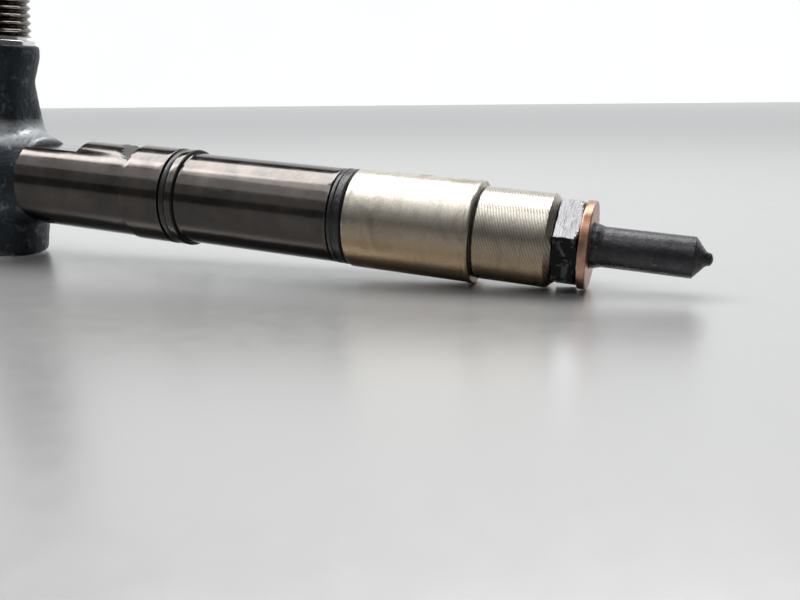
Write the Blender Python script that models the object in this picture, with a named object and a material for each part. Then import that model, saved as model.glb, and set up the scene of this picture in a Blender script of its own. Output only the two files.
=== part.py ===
"""Common-rail diesel fuel injector, made of its separate pieces.

The injector lies along X: its nozzle tip points to +X and its solenoid is at the -X end.
The origin is the centre of the washer's sealing face. The inlet arm points to +Z and the
leak-off stub to -Z. Everything is in metres.
"""

import math

import bmesh
import bpy
from mathutils import Matrix, Vector

MM = 0.001

# Fits between pieces
SEAT_GAP = 0.1 * MM
RUNNING_GAP = 0.08 * MM
LOOSE_GAP = 0.2 * MM
THREAD_GAP = 0.3 * MM
WELD = 1e-7
OVERRUN = 1.0 * MM

# Facets round a turned piece
ROUND = 32
FINE = 24
STANDING = 28
SEAL_SECTION = 8
SEAL_STRETCH = 1.4
DRILLED = 12
SPRING_STEPS = 12
WIRE_SIDES = 6
CLOSED_PITCH = 2.3
FLARE_STEPS = 6

# Sealing washer
WASHER_R = 7.7 * MM
WASHER_THICK = 1.6 * MM
WASHER_EDGE = 0.15 * MM

# Nozzle
STEM_R = 3.5 * MM
STEM_ROOT_R = 3.85 * MM
STEM_LENGTH = 16.9 * MM
ROOT_LENGTH = 0.9 * MM
CONE_LENGTH = 1.7 * MM
SAC_R = 1.15 * MM
SAC_LENGTH = 1.1 * MM
SAC_WALL = 0.75 * MM
SHANK_R = 6.5 * MM
SHANK_LENGTH = 16.5 * MM
NEEDLE_GUIDE_R = 2.0 * MM
NEEDLE_GUIDE_LENGTH = 11.0 * MM
NEEDLE_STEM_R = 1.3 * MM
STEM_BORE_R = 1.7 * MM
NEEDLE_PIN_R = 1.2 * MM
GALLERY_R = 2.9 * MM
GALLERY_LENGTH = 2.2 * MM
SEAT_R = 0.5 * MM
SEAT_SLOPE = 1.3
NEEDLE_LIFT = 0.25 * MM

# Nozzle retaining nut
HEX_FLATS = 14.0 * MM
HEX_LENGTH = 3.9 * MM
HEX_TURN = 15.0
NUT_CHAMFER = 1.05 * MM
NUT_SMALL_WALL = 1.55 * MM
NUT_SMALL_LENGTH = 12.75 * MM
NUT_UNDERCUT = 0.45 * MM
BEAD_WIDTH = 1.1 * MM
BEAD_HEIGHT = 0.12 * MM
NUT_LARGE_LENGTH = 22.4 * MM
NUT_CORNER = 1.7 * MM
NUT_SHOULDER = 1.4 * MM

# Distance piece and dowels
DISTANCE_LENGTH = 5.0 * MM
DOWEL_R = 0.75 * MM
DOWEL_LENGTH = 9.0 * MM
DOWEL_SETBACK = 0.7 * MM

# Injector body
LOWER_BODY_R = 8.87 * MM
NUT_STEP = 0.33 * MM
RING_DEPTH = 1.27 * MM
RING_WIDTH = 2.8 * MM
RING_PROUD = 0.08 * MM
LOWER_BODY_LENGTH = 31.7 * MM
BAND_R = 9.52 * MM
BAND_LENGTH = 12.1 * MM
BAND_CHAMFER = 0.6 * MM
GROOVE_SETBACK = 1.8 * MM
GROOVE_WIDTH = 1.7 * MM
GROOVE_DEPTH = 1.2 * MM
UPPER_BODY_R = 9.18 * MM
UPPER_BODY_LENGTH = 25.25 * MM
TOP_FLAT_DEPTH = 1.8 * MM
TOP_FLAT_LENGTH = 12.2 * MM
TOP_NOTCH_DEPTH = 2.2 * MM
TOP_NOTCH_LENGTH = 5.0 * MM
TOP_NOTCH_FLOOR = 1.0 * MM
BARREL_R = 11.0 * MM
BARREL_FLARE = 6.5 * MM
BARREL_LENGTH = 27.5 * MM
COLLAR_R = 12.5 * MM
COLLAR_LENGTH = 6.5 * MM
CLAMP_FLAT_SETBACK = 14.0 * MM
CLAMP_FLAT_DEPTH = 1.3 * MM

# Leak-off stub and inlet arm
STUB_R = 8.75 * MM
STUB_REACH = 16.9 * MM
STUB_EDGE = 0.8 * MM
STUB_SETBACK = 3.15 * MM
LEAK_OFF_R = 1.6 * MM
ARM_ROOT_HALF_X = 8.6 * MM
ARM_ROOT_HALF_Y = 7.2 * MM
ARM_NECK_HALF_X = 6.9 * MM
ARM_NECK_HALF_Y = 6.6 * MM
ARM_NECK_Z = 20.0 * MM
ARM_HEAD_R = 8.4 * MM
ARM_HEAD_Z = 28.0 * MM
ARM_HEAD_HEIGHT = 3.0 * MM
ARM_ROOT_SQUARENESS = 3.2
ARM_MIDDLE_SQUARENESS = 3.0
ARM_NECK_SQUARENESS = 2.4
ARM_HEAD_SQUARENESS = 2.0
INLET_THREAD_R = 7.0 * MM
INLET_THREAD_LENGTH = 12.0 * MM
INLET_CONE_R = 4.0 * MM
INLET_BORE_R = 2.2 * MM
INLET_BORE_LENGTH = 24.0 * MM
FILTER_LENGTH = 18.0 * MM
FILTER_SETBACK = 4.5 * MM

# Bores along the body
CHAMBER_R = 3.9 * MM
CHAMBER_LENGTH = 27.9 * MM
PISTON_R = 2.45 * MM
PISTON_PIN_R = 1.9 * MM
PASSAGE_R = 0.75 * MM
PASSAGE_WALL = 0.65 * MM

# Nozzle spring and what it presses on
NOZZLE_SPRING_WIRE_R = 0.6 * MM
NOZZLE_SPRING_TURNS = 7.5
PRESSURE_PIN_LENGTH = 3.4 * MM
SPRING_SHIM_THICK = 1.0 * MM

# Control valve
CONTROL_R = 6.8 * MM
PLATE_LENGTH = 4.0 * MM
ORIFICE_R = 0.3 * MM
BALL_R = 0.75 * MM
GUIDE_LENGTH = 9.0 * MM
BALL_SPACE_LENGTH = 2.8 * MM
BALL_SPACE_R = 1.8 * MM
ARMATURE_STEM_R = 1.5 * MM
ARMATURE_DISC_R = 8.2 * MM
ARMATURE_DISC_THICK = 1.6 * MM
ARMATURE_HOLE_R = 1.025 * MM
ARMATURE_CLEARANCE = 0.8 * MM
ARMATURE_LIFT = 0.06 * MM
RESIDUAL_GAP = 0.12 * MM
CLAMP_RING_LENGTH = 3.0 * MM
CLAMP_RING_WALL = 2.6 * MM
ARMATURE_SPACE = 2.9 * MM

# Solenoid
CORE_R = 8.9 * MM
CORE_LENGTH = 10.8 * MM
CORE_YOKE = 2.4 * MM
CORE_BORE_R = 2.4 * MM
CORE_INNER_POLE_R = 4.3 * MM
COIL_SLOT_R = 7.3 * MM
BOBBIN_WALL = 0.45 * MM
ARMATURE_SPRING_WIRE_R = 0.35 * MM
ARMATURE_SPRING_TURNS = 6.5
SPRING_DISC_THICK = 0.9 * MM
CAN_WALL = 1.3 * MM
CAN_FLANGE_R = 11.4 * MM
CAN_FLANGE_LENGTH = 2.9 * MM
CAN_END = 2.9 * MM
BODY_THREAD_R = 11.8 * MM
BODY_THREAD_LENGTH = 10.0 * MM
SEAL_R = 0.65 * MM
SOLENOID_NUT_FLATS = 27.0 * MM
SOLENOID_NUT_LIP = 3.4 * MM
SOLENOID_NUT_CHAMFER = 1.2 * MM
CROWN_SLOPE = 1.7

# Connector
HOUSING_WALL = 2.0 * MM
HOUSING_END = 7.6 * MM
HOUSING_CORNER = 1.5 * MM
SOCKET_Y = 12.4 * MM
SOCKET_WALL = 1.7 * MM
SOCKET_TOP_Z = 28.0 * MM
SOCKET_DEPTH = 12.5 * MM
SOCKET_CORNER = 2.6 * MM
SOCKET_MARGIN = 0.6 * MM
COLLAR_STEP = 1.0 * MM
COLLAR_HEIGHT = 3.0 * MM
PIN_SPACING = 5.0 * MM
PIN_WIDTH = 2.2 * MM
PIN_THICK = 0.8 * MM
PIN_HEIGHT = 7.0 * MM
PIN_ROOT = 3.0 * MM

# Stations along X, from the washer's face to the tip
CONE_END_X = STEM_LENGTH + CONE_LENGTH
TIP_X = CONE_END_X + SAC_LENGTH
SEAT_X = TIP_X - SAC_WALL - 2 * SEAT_R
SEAT_START_X = SEAT_X - SEAT_SLOPE * (STEM_BORE_R - SEAT_R)

# Stations along X, from the washer's face towards the head
NUT_FRONT_X = -WASHER_THICK - SEAT_GAP
HEX_BACK_X = NUT_FRONT_X - HEX_LENGTH
NUT_SMALL_FRONT_X = HEX_BACK_X - NUT_CHAMFER
BEAD_FRONT_X = NUT_SMALL_FRONT_X - NUT_SMALL_LENGTH - NUT_UNDERCUT
BEAD_BACK_X = BEAD_FRONT_X - BEAD_WIDTH
NUT_REAR_X = BEAD_BACK_X - NUT_LARGE_LENGTH
SHANK_FRONT_X = NUT_SMALL_FRONT_X - NUT_SHOULDER - SEAT_GAP
SHANK_BACK_X = SHANK_FRONT_X - SHANK_LENGTH
NEEDLE_GUIDE_X = SHANK_BACK_X + NEEDLE_GUIDE_LENGTH
DISTANCE_FRONT_X = SHANK_BACK_X - SEAT_GAP
DISTANCE_BACK_X = DISTANCE_FRONT_X - DISTANCE_LENGTH
NOSE_X = DISTANCE_BACK_X - SEAT_GAP
RING_FRONT_X = NUT_REAR_X - LOOSE_GAP
RING_BACK_X = RING_FRONT_X - RING_WIDTH
LOWER_FRONT_X = RING_BACK_X - SEAT_GAP
BAND_FRONT_X = LOWER_FRONT_X - LOWER_BODY_LENGTH
GROOVE_FRONT_X = BAND_FRONT_X - GROOVE_SETBACK
GROOVE_BACK_X = GROOVE_FRONT_X - GROOVE_WIDTH
BAND_BACK_X = BAND_FRONT_X - BAND_LENGTH
HEAD_FRONT_X = BAND_BACK_X - UPPER_BODY_LENGTH
STUB_X = HEAD_FRONT_X - STUB_SETBACK - STUB_R
BARREL_BACK_X = HEAD_FRONT_X - BARREL_LENGTH
BODY_REAR_X = BARREL_BACK_X - BODY_THREAD_LENGTH
CLAMP_FLAT_X = HEAD_FRONT_X - CLAMP_FLAT_SETBACK
CHAMBER_BACK_X = NOSE_X - CHAMBER_LENGTH
ARMATURE_SPACE_X = BODY_REAR_X + ARMATURE_SPACE
CLAMP_RING_X = ARMATURE_SPACE_X + CLAMP_RING_LENGTH
GUIDE_BACK_X = CLAMP_RING_X + SEAT_GAP
GUIDE_FRONT_X = GUIDE_BACK_X + GUIDE_LENGTH
PLATE_BACK_X = GUIDE_FRONT_X + SEAT_GAP
PLATE_FRONT_X = PLATE_BACK_X + PLATE_LENGTH
CONTROL_FLOOR_X = PLATE_FRONT_X + SEAT_GAP
CORE_FACE_X = BODY_REAR_X - SEAT_GAP
CORE_BACK_X = CORE_FACE_X - CORE_LENGTH
DISC_BACK_X = CORE_FACE_X + RESIDUAL_GAP + ARMATURE_LIFT
DISC_FRONT_X = DISC_BACK_X + ARMATURE_DISC_THICK
BALL_X = PLATE_BACK_X - SEAT_GAP / 2 - BALL_R
CAN_FRONT_X = BODY_REAR_X - SEAT_GAP
CAN_BACK_X = CORE_BACK_X - SEAT_GAP - CAN_END
SOLENOID_NUT_REAR_X = CAN_FRONT_X - CAN_FLANGE_LENGTH - SEAT_GAP - SOLENOID_NUT_LIP
HOUSING_FRONT_X = SOLENOID_NUT_REAR_X - LOOSE_GAP
HOUSING_BACK_X = CAN_BACK_X - SEAT_GAP - HOUSING_END
SOCKET_CENTRE_X = (HOUSING_FRONT_X + HOUSING_BACK_X) / 2
SOCKET_X = HOUSING_FRONT_X - HOUSING_BACK_X - 2 * SOCKET_MARGIN

# Radii that follow from the ones above
SHANK_BORE_R = SHANK_R + LOOSE_GAP
NUT_SMALL_R = SHANK_BORE_R + NUT_SMALL_WALL
NUT_LARGE_R = LOWER_BODY_R + NUT_STEP
NOSE_R = LOWER_BODY_R - RING_DEPTH
NUT_THREAD_R = NOSE_R + THREAD_GAP
NOZZLE_HOLE_R = STEM_ROOT_R + LOOSE_GAP
PASSAGE_OFFSET = CHAMBER_R + PASSAGE_WALL + PASSAGE_R
SPRING_OUTER_R = CHAMBER_R - LOOSE_GAP
SPRING_MEAN_R = SPRING_OUTER_R - NOZZLE_SPRING_WIRE_R
SPRING_INNER_R = SPRING_MEAN_R - NOZZLE_SPRING_WIRE_R
DOWEL_OFFSET = CHAMBER_R + DOWEL_SETBACK
CONTROL_BORE_R = CONTROL_R + LOOSE_GAP
ARMATURE_BORE_R = ARMATURE_DISC_R + ARMATURE_CLEARANCE
CAN_BORE_R = CORE_R + LOOSE_GAP
CAN_R = CAN_BORE_R + CAN_WALL
HOUSING_BORE_R = CAN_R + SEAT_GAP
HOUSING_R = HOUSING_BORE_R + HOUSING_WALL
INLET_MOUTH_Z = ARM_HEAD_Z + INLET_THREAD_LENGTH


def clear_scene():
    for obj in list(bpy.data.objects):
        bpy.data.objects.remove(obj)


def material(name, colour, roughness, metallic):
    made = bpy.data.materials.new(name)
    made.use_nodes = True
    shader = made.node_tree.nodes["Principled BSDF"]
    shader.inputs["Base Color"].default_value = (*colour, 1.0)
    shader.inputs["Roughness"].default_value = roughness
    shader.inputs["Metallic"].default_value = metallic
    made.diffuse_color = (*colour, 1.0)
    return made


def add_object(name, bm, surface, placed):
    """Turns a bmesh into an object with smooth round faces and sharp corners."""
    bmesh.ops.remove_doubles(bm, verts=bm.verts, dist=WELD)
    bmesh.ops.recalc_face_normals(bm, faces=bm.faces)
    mesh = bpy.data.meshes.new(name)
    bm.to_mesh(mesh)
    bm.free()
    mesh.shade_smooth()
    mesh.set_sharp_from_angle(angle=math.radians(35))
    obj = bpy.data.objects.new(name, mesh)
    obj.matrix_world = placed
    bpy.context.scene.collection.objects.link(obj)
    if surface:
        mesh.materials.append(surface)
    return obj


def turned(name, outline, surface=None, sides=ROUND, placed=Matrix()):
    """A solid turned about X from (x, radius) points.

    An outline that starts on the axis also ends there. Any other is a ring, and closes on itself.
    """
    bm = bmesh.new()
    verts = [bm.verts.new((x, 0.0, radius)) for x, radius in outline]
    edges = [bm.edges.new(pair) for pair in zip(verts, verts[1:])]
    if outline[0][1] > 0:
        edges.append(bm.edges.new((verts[-1], verts[0])))
    bmesh.ops.spin(
        bm,
        geom=verts + edges,
        cent=(0, 0, 0),
        axis=(1, 0, 0),
        angle=2 * math.pi,
        steps=sides,
        use_merge=True,
    )
    return add_object(name, bm, surface, placed)


def arc(centre_x, centre_r, radius, start, end, steps):
    """Points of a round corner in an outline, with angles in degrees from +X towards +radius."""
    points = []
    for step in range(steps + 1):
        angle = math.radians(start + (end - start) * step / steps)
        points.append((centre_x + radius * math.cos(angle), centre_r + radius * math.sin(angle)))
    return points


def rod(name, x_a, x_b, radius, surface=None, sides=FINE, placed=Matrix()):
    return turned(name, [(x_a, 0), (x_a, radius), (x_b, radius), (x_b, 0)], surface, sides, placed)


def ring(name, x_a, x_b, inner, outer, surface=None, sides=ROUND):
    return turned(name, [(x_a, inner), (x_a, outer), (x_b, outer), (x_b, inner)], surface, sides)


def seal_ring(name, x, mean_r, section_r, surface, width=1.0):
    """A ring of round section; width stretches the section along the axis."""
    outline = []
    for step in range(SEAL_SECTION):
        angle = 2 * math.pi * (step + 0.5) / SEAL_SECTION
        outline.append((x + width * section_r * math.cos(angle), mean_r + section_r * math.sin(angle)))
    return turned(name, outline, surface)


def prism(name, outline, low, high, surface=None, placed=Matrix()):
    """An outline of (x, y) points, drawn out from z = low to z = high."""
    bm = bmesh.new()
    floor = bm.faces.new([bm.verts.new((x, y, low)) for x, y in outline])
    drawn = bmesh.ops.extrude_face_region(bm, geom=[floor])
    moved = [item for item in drawn["geom"] if isinstance(item, bmesh.types.BMVert)]
    bmesh.ops.translate(bm, verts=moved, vec=(0, 0, high - low))
    return add_object(name, bm, surface, placed)


def box(name, low, high, surface=None):
    corners = [(low[0], low[1]), (high[0], low[1]), (high[0], high[1]), (low[0], high[1])]
    return prism(name, corners, low[2], high[2], surface)


def rounded_rectangle(centre_x, size_x, size_y, corner, steps=4):
    points = []
    for quarter in range(4):
        turn = math.pi / 2 * quarter
        side_x = math.copysign(size_x / 2 - corner, math.cos(turn + math.pi / 4))
        side_y = math.copysign(size_y / 2 - corner, math.sin(turn + math.pi / 4))
        for step in range(steps + 1):
            angle = turn + math.pi / 2 * step / steps
            x = centre_x + side_x + corner * math.cos(angle)
            points.append((x, side_y + corner * math.sin(angle)))
    return points


def lofted(name, sections, surface=None):
    """A closed shape through stacked sections, each a list of as many points."""
    bm = bmesh.new()
    rows = [[bm.verts.new(point) for point in section] for section in sections]
    bm.faces.new(reversed(rows[0]))
    bm.faces.new(rows[-1])
    for lower, upper in zip(rows, rows[1:]):
        for index in range(len(lower)):
            after = (index + 1) % len(lower)
            bm.faces.new((lower[index], lower[after], upper[after], upper[index]))
    return add_object(name, bm, surface, Matrix())


def hexagon(name, x_a, x_b, flats, surface=None, turn=0.0):
    """A hexagonal bar along X. Two flats face +Z and -Z before it is turned about X, in degrees."""
    corner_r = flats / math.sqrt(3)
    corners = []
    for index in range(6):
        angle = math.pi / 3 * index - math.radians(turn)
        corners.append((corner_r * math.cos(angle), corner_r * math.sin(angle)))
    upright = Matrix.Rotation(math.pi / 2, 4, "Z") @ Matrix.Rotation(math.pi / 2, 4, "X")
    return prism(name, corners, x_a, x_b, surface, upright)


def coil_spring(name, x_a, x_b, mean_r, wire_r, turns, surface):
    """Round wire wound about X, its end turns lying close together."""
    start = min(x_a, x_b) + wire_r
    end = max(x_a, x_b) - wire_r
    closed_pitch = CLOSED_PITCH * wire_r
    open_pitch = (end - start - 2 * closed_pitch) / (turns - 2)
    steps = round(turns * SPRING_STEPS)
    sections = []
    for step in range(steps + 1):
        turn = step * turns / steps
        opened = min(max(turn - 1, 0), turns - 2)
        x = start + closed_pitch * (turn - opened) + open_pitch * opened
        angle = 2 * math.pi * turn
        outwards = Vector((0, math.cos(angle), math.sin(angle)))
        pitch = open_pitch if 0 < opened < turns - 2 else closed_pitch
        along = Vector((pitch, 0, 0)) + 2 * math.pi * mean_r * Vector((0, -math.sin(angle), math.cos(angle)))
        across = outwards.cross(along.normalized())
        centre = Vector((x, 0, 0)) + mean_r * outwards
        loop = []
        for side in range(WIRE_SIDES):
            spin = 2 * math.pi * side / WIRE_SIDES
            loop.append(centre + wire_r * (math.cos(spin) * outwards + math.sin(spin) * across))
        sections.append(loop)
    return lofted(name, sections, surface)


def boolean(target, tool, operation):
    tool.hide_render = True
    tool.display_type = "WIRE"
    change = target.modifiers.new(tool.name, "BOOLEAN")
    change.operation = operation
    change.solver = "EXACT"
    change.object = tool


def cut(target, *tools):
    for tool in tools:
        boolean(target, tool, "DIFFERENCE")


def join(target, *tools):
    for tool in tools:
        boolean(target, tool, "UNION")


def upright(x, sides):
    """Places a piece turned about X so that it stands along Z at x, with a facet facing +X."""
    half_facet = Matrix.Rotation(math.pi / sides, 4, "X")
    return Matrix.Translation((x, 0, 0)) @ Matrix.Rotation(-math.pi / 2, 4, "Y") @ half_facet


def drilled(name, x_a, x_b, radius, surface=None, placed=Matrix()):
    """A small rod or drilling, turned by half a facet so that no edge runs through the axis of the piece."""
    half_facet = Matrix.Rotation(math.pi / DRILLED, 4, "X")
    return rod(name, x_a, x_b, radius, surface, DRILLED, placed @ half_facet)


def along(point, target, name, radius):
    """A straight drilling between two points."""
    start, end = Vector(point), Vector(target)
    turn = (end - start).to_track_quat("X", "Z").to_matrix().to_4x4()
    return drilled(name, 0, (end - start).length, radius, None, Matrix.Translation(start) @ turn)


def dowel_positions():
    return [(1, Vector((0, DOWEL_OFFSET, 0))), (2, Vector((0, -DOWEL_OFFSET, 0)))]


def dowel_hole(owner, index, place):
    middle = (DISTANCE_FRONT_X + DISTANCE_BACK_X) / 2
    reach = DOWEL_LENGTH / 2 + LOOSE_GAP
    name = f"{owner}_dowel_hole_{index}"
    return drilled(name, middle - reach, middle + reach, DOWEL_R + SEAT_GAP, None, Matrix.Translation(place))


def make_washer(copper):
    outline = [
        (0, NOZZLE_HOLE_R),
        (0, WASHER_R - WASHER_EDGE),
        (-WASHER_EDGE, WASHER_R),
        (-WASHER_THICK + WASHER_EDGE, WASHER_R),
        (-WASHER_THICK, WASHER_R - WASHER_EDGE),
        (-WASHER_THICK, NOZZLE_HOLE_R),
    ]
    turned("sealing_washer", outline, copper)


def make_nozzle(steel):
    outline = [
        (SHANK_BACK_X, 0),
        (SHANK_BACK_X, SHANK_R - LOOSE_GAP),
        (SHANK_BACK_X + LOOSE_GAP, SHANK_R),
        (SHANK_FRONT_X - LOOSE_GAP, SHANK_R),
        (SHANK_FRONT_X, SHANK_R - LOOSE_GAP),
        (SHANK_FRONT_X, STEM_ROOT_R),
        (ROOT_LENGTH, STEM_ROOT_R),
        (ROOT_LENGTH + 2 * (STEM_ROOT_R - STEM_R), STEM_R),
        (STEM_LENGTH, STEM_R),
        (CONE_END_X, SAC_R),
    ]
    outline += arc(TIP_X - SAC_R, 0, SAC_R, 75, 0, 4)[:-1]
    outline.append((TIP_X, 0))
    nozzle = turned("nozzle_body", outline, steel)

    gallery_end_x = NEEDLE_GUIDE_X + GALLERY_LENGTH
    bore = [
        (SHANK_BACK_X - LOOSE_GAP, 0),
        (SHANK_BACK_X - LOOSE_GAP, NEEDLE_GUIDE_R),
        (NEEDLE_GUIDE_X, NEEDLE_GUIDE_R),
        (NEEDLE_GUIDE_X, GALLERY_R),
        (gallery_end_x, GALLERY_R),
        (gallery_end_x + GALLERY_R - STEM_BORE_R, STEM_BORE_R),
        (SEAT_START_X, STEM_BORE_R),
        (SEAT_X, SEAT_R),
        (SEAT_X + SEAT_R, SEAT_R),
        (SEAT_X + SEAT_R, 0),
    ]
    cut(nozzle, turned("nozzle_bore", bore, None, FINE))
    gallery_x = NEEDLE_GUIDE_X + GALLERY_LENGTH / 2
    feed = along(
        (SHANK_BACK_X - LOOSE_GAP, 0, PASSAGE_OFFSET),
        (gallery_x, 0, GALLERY_R - PASSAGE_R / 2),
        "nozzle_feed_hole",
        PASSAGE_R,
    )
    cut(nozzle, feed)
    for index, place in dowel_positions():
        cut(nozzle, dowel_hole("nozzle", index, place))


def make_needle(steel):
    guide_r = NEEDLE_GUIDE_R - RUNNING_GAP
    stop_x = SHANK_BACK_X + SEAT_GAP / 2 + NEEDLE_LIFT
    cone_start = SEAT_START_X + SEAT_SLOPE * (STEM_BORE_R - NEEDLE_STEM_R) - SEAT_GAP
    outline = [
        (DISTANCE_BACK_X + LOOSE_GAP, 0),
        (DISTANCE_BACK_X + LOOSE_GAP, NEEDLE_PIN_R),
        (stop_x, NEEDLE_PIN_R),
        (stop_x, guide_r),
        (NEEDLE_GUIDE_X - LOOSE_GAP, guide_r),
        (NEEDLE_GUIDE_X + GALLERY_LENGTH / 2, NEEDLE_STEM_R),
        (cone_start, NEEDLE_STEM_R),
        (SEAT_X - SEAT_GAP, SEAT_R),
        (SEAT_X, 0),
    ]
    turned("nozzle_needle", outline, steel, FINE)


def make_distance_piece(steel):
    hole_r = NEEDLE_PIN_R + LOOSE_GAP
    piece = ring("distance_piece", DISTANCE_FRONT_X, DISTANCE_BACK_X, hole_r, SHANK_R, steel)
    drilled_from = (DISTANCE_FRONT_X + LOOSE_GAP, 0, PASSAGE_OFFSET)
    drilled_to = (DISTANCE_BACK_X - LOOSE_GAP, 0, PASSAGE_OFFSET)
    cut(piece, along(drilled_from, drilled_to, "distance_piece_feed_hole", PASSAGE_R))
    for index, place in dowel_positions():
        cut(piece, dowel_hole("distance_piece", index, place))


def make_dowels(steel):
    middle = (DISTANCE_FRONT_X + DISTANCE_BACK_X) / 2
    half = DOWEL_LENGTH / 2
    for index, offset in dowel_positions():
        place = Matrix.Translation(offset)
        drilled(f"locating_dowel_{index}", middle - half, middle + half, DOWEL_R, steel, place)


def make_nozzle_nut(steel):
    bead_r = NUT_LARGE_R + BEAD_HEIGHT
    undercut_r = NUT_SMALL_R - NUT_UNDERCUT / 2
    outline = [
        (HEX_BACK_X + NUT_CHAMFER, NOZZLE_HOLE_R),
        (HEX_BACK_X + NUT_CHAMFER, HEX_FLATS / 2 - NUT_CHAMFER),
        (HEX_BACK_X, HEX_FLATS / 2),
        (NUT_SMALL_FRONT_X, NUT_SMALL_R),
        (BEAD_FRONT_X + NUT_UNDERCUT, NUT_SMALL_R),
        (BEAD_FRONT_X, undercut_r),
    ]
    outline += arc(BEAD_FRONT_X - BEAD_WIDTH / 2, bead_r - BEAD_WIDTH / 2, BEAD_WIDTH / 2, 0, 180, 6)
    outline.append((BEAD_BACK_X, NUT_LARGE_R))
    outline += arc(NUT_REAR_X + NUT_CORNER, NUT_LARGE_R - NUT_CORNER, NUT_CORNER, 90, 160, 5)
    outline += [
        (NUT_REAR_X, NUT_THREAD_R),
        (NOSE_X - THREAD_GAP - (NUT_THREAD_R - SHANK_BORE_R), NUT_THREAD_R),
        (NOSE_X - THREAD_GAP, SHANK_BORE_R),
        (SHANK_FRONT_X + SEAT_GAP, SHANK_BORE_R),
        (SHANK_FRONT_X + SEAT_GAP, NOZZLE_HOLE_R),
    ]
    nut = turned("nozzle_retaining_nut", outline, steel)
    bar = hexagon("nozzle_nut_hexagon", HEX_BACK_X - LOOSE_GAP, NUT_FRONT_X, HEX_FLATS, None, HEX_TURN)
    bore_back_x = HEX_BACK_X - NUT_SHOULDER
    cut(bar, rod("nozzle_nut_hexagon_bore", bore_back_x, NUT_FRONT_X + OVERRUN, NOZZLE_HOLE_R, None, ROUND))
    join(nut, bar)


def make_inlet_arm():
    """The arm's forging, from inside the barrel to its machined inlet end."""
    middle_z = (UPPER_BODY_R + ARM_NECK_Z) / 2
    middle_half_x = (ARM_ROOT_HALF_X + 2 * ARM_NECK_HALF_X) / 3
    sections = []
    for z, half_x, half_y, square in (
        (-LEAK_OFF_R, ARM_ROOT_HALF_X, ARM_ROOT_HALF_Y, ARM_ROOT_SQUARENESS),
        (UPPER_BODY_R, ARM_ROOT_HALF_X, ARM_ROOT_HALF_Y, ARM_ROOT_SQUARENESS),
        (middle_z, middle_half_x, ARM_NECK_HALF_Y, ARM_MIDDLE_SQUARENESS),
        (ARM_NECK_Z, ARM_NECK_HALF_X, ARM_NECK_HALF_Y, ARM_NECK_SQUARENESS),
        (ARM_HEAD_Z - ARM_HEAD_HEIGHT, ARM_HEAD_R, ARM_HEAD_R, ARM_HEAD_SQUARENESS),
        (ARM_HEAD_Z, ARM_HEAD_R, ARM_HEAD_R, ARM_HEAD_SQUARENESS),
    ):
        section = []
        for index in range(ROUND):
            angle = 2 * math.pi * (index + 0.5) / ROUND
            reach = (abs(math.cos(angle)) ** square + abs(math.sin(angle)) ** square) ** (-1 / square)
            x = STUB_X + half_x * reach * math.cos(angle)
            section.append((x, half_y * reach * math.sin(angle), z))
        sections.append(section)
    return lofted("inlet_arm", sections)


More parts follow.
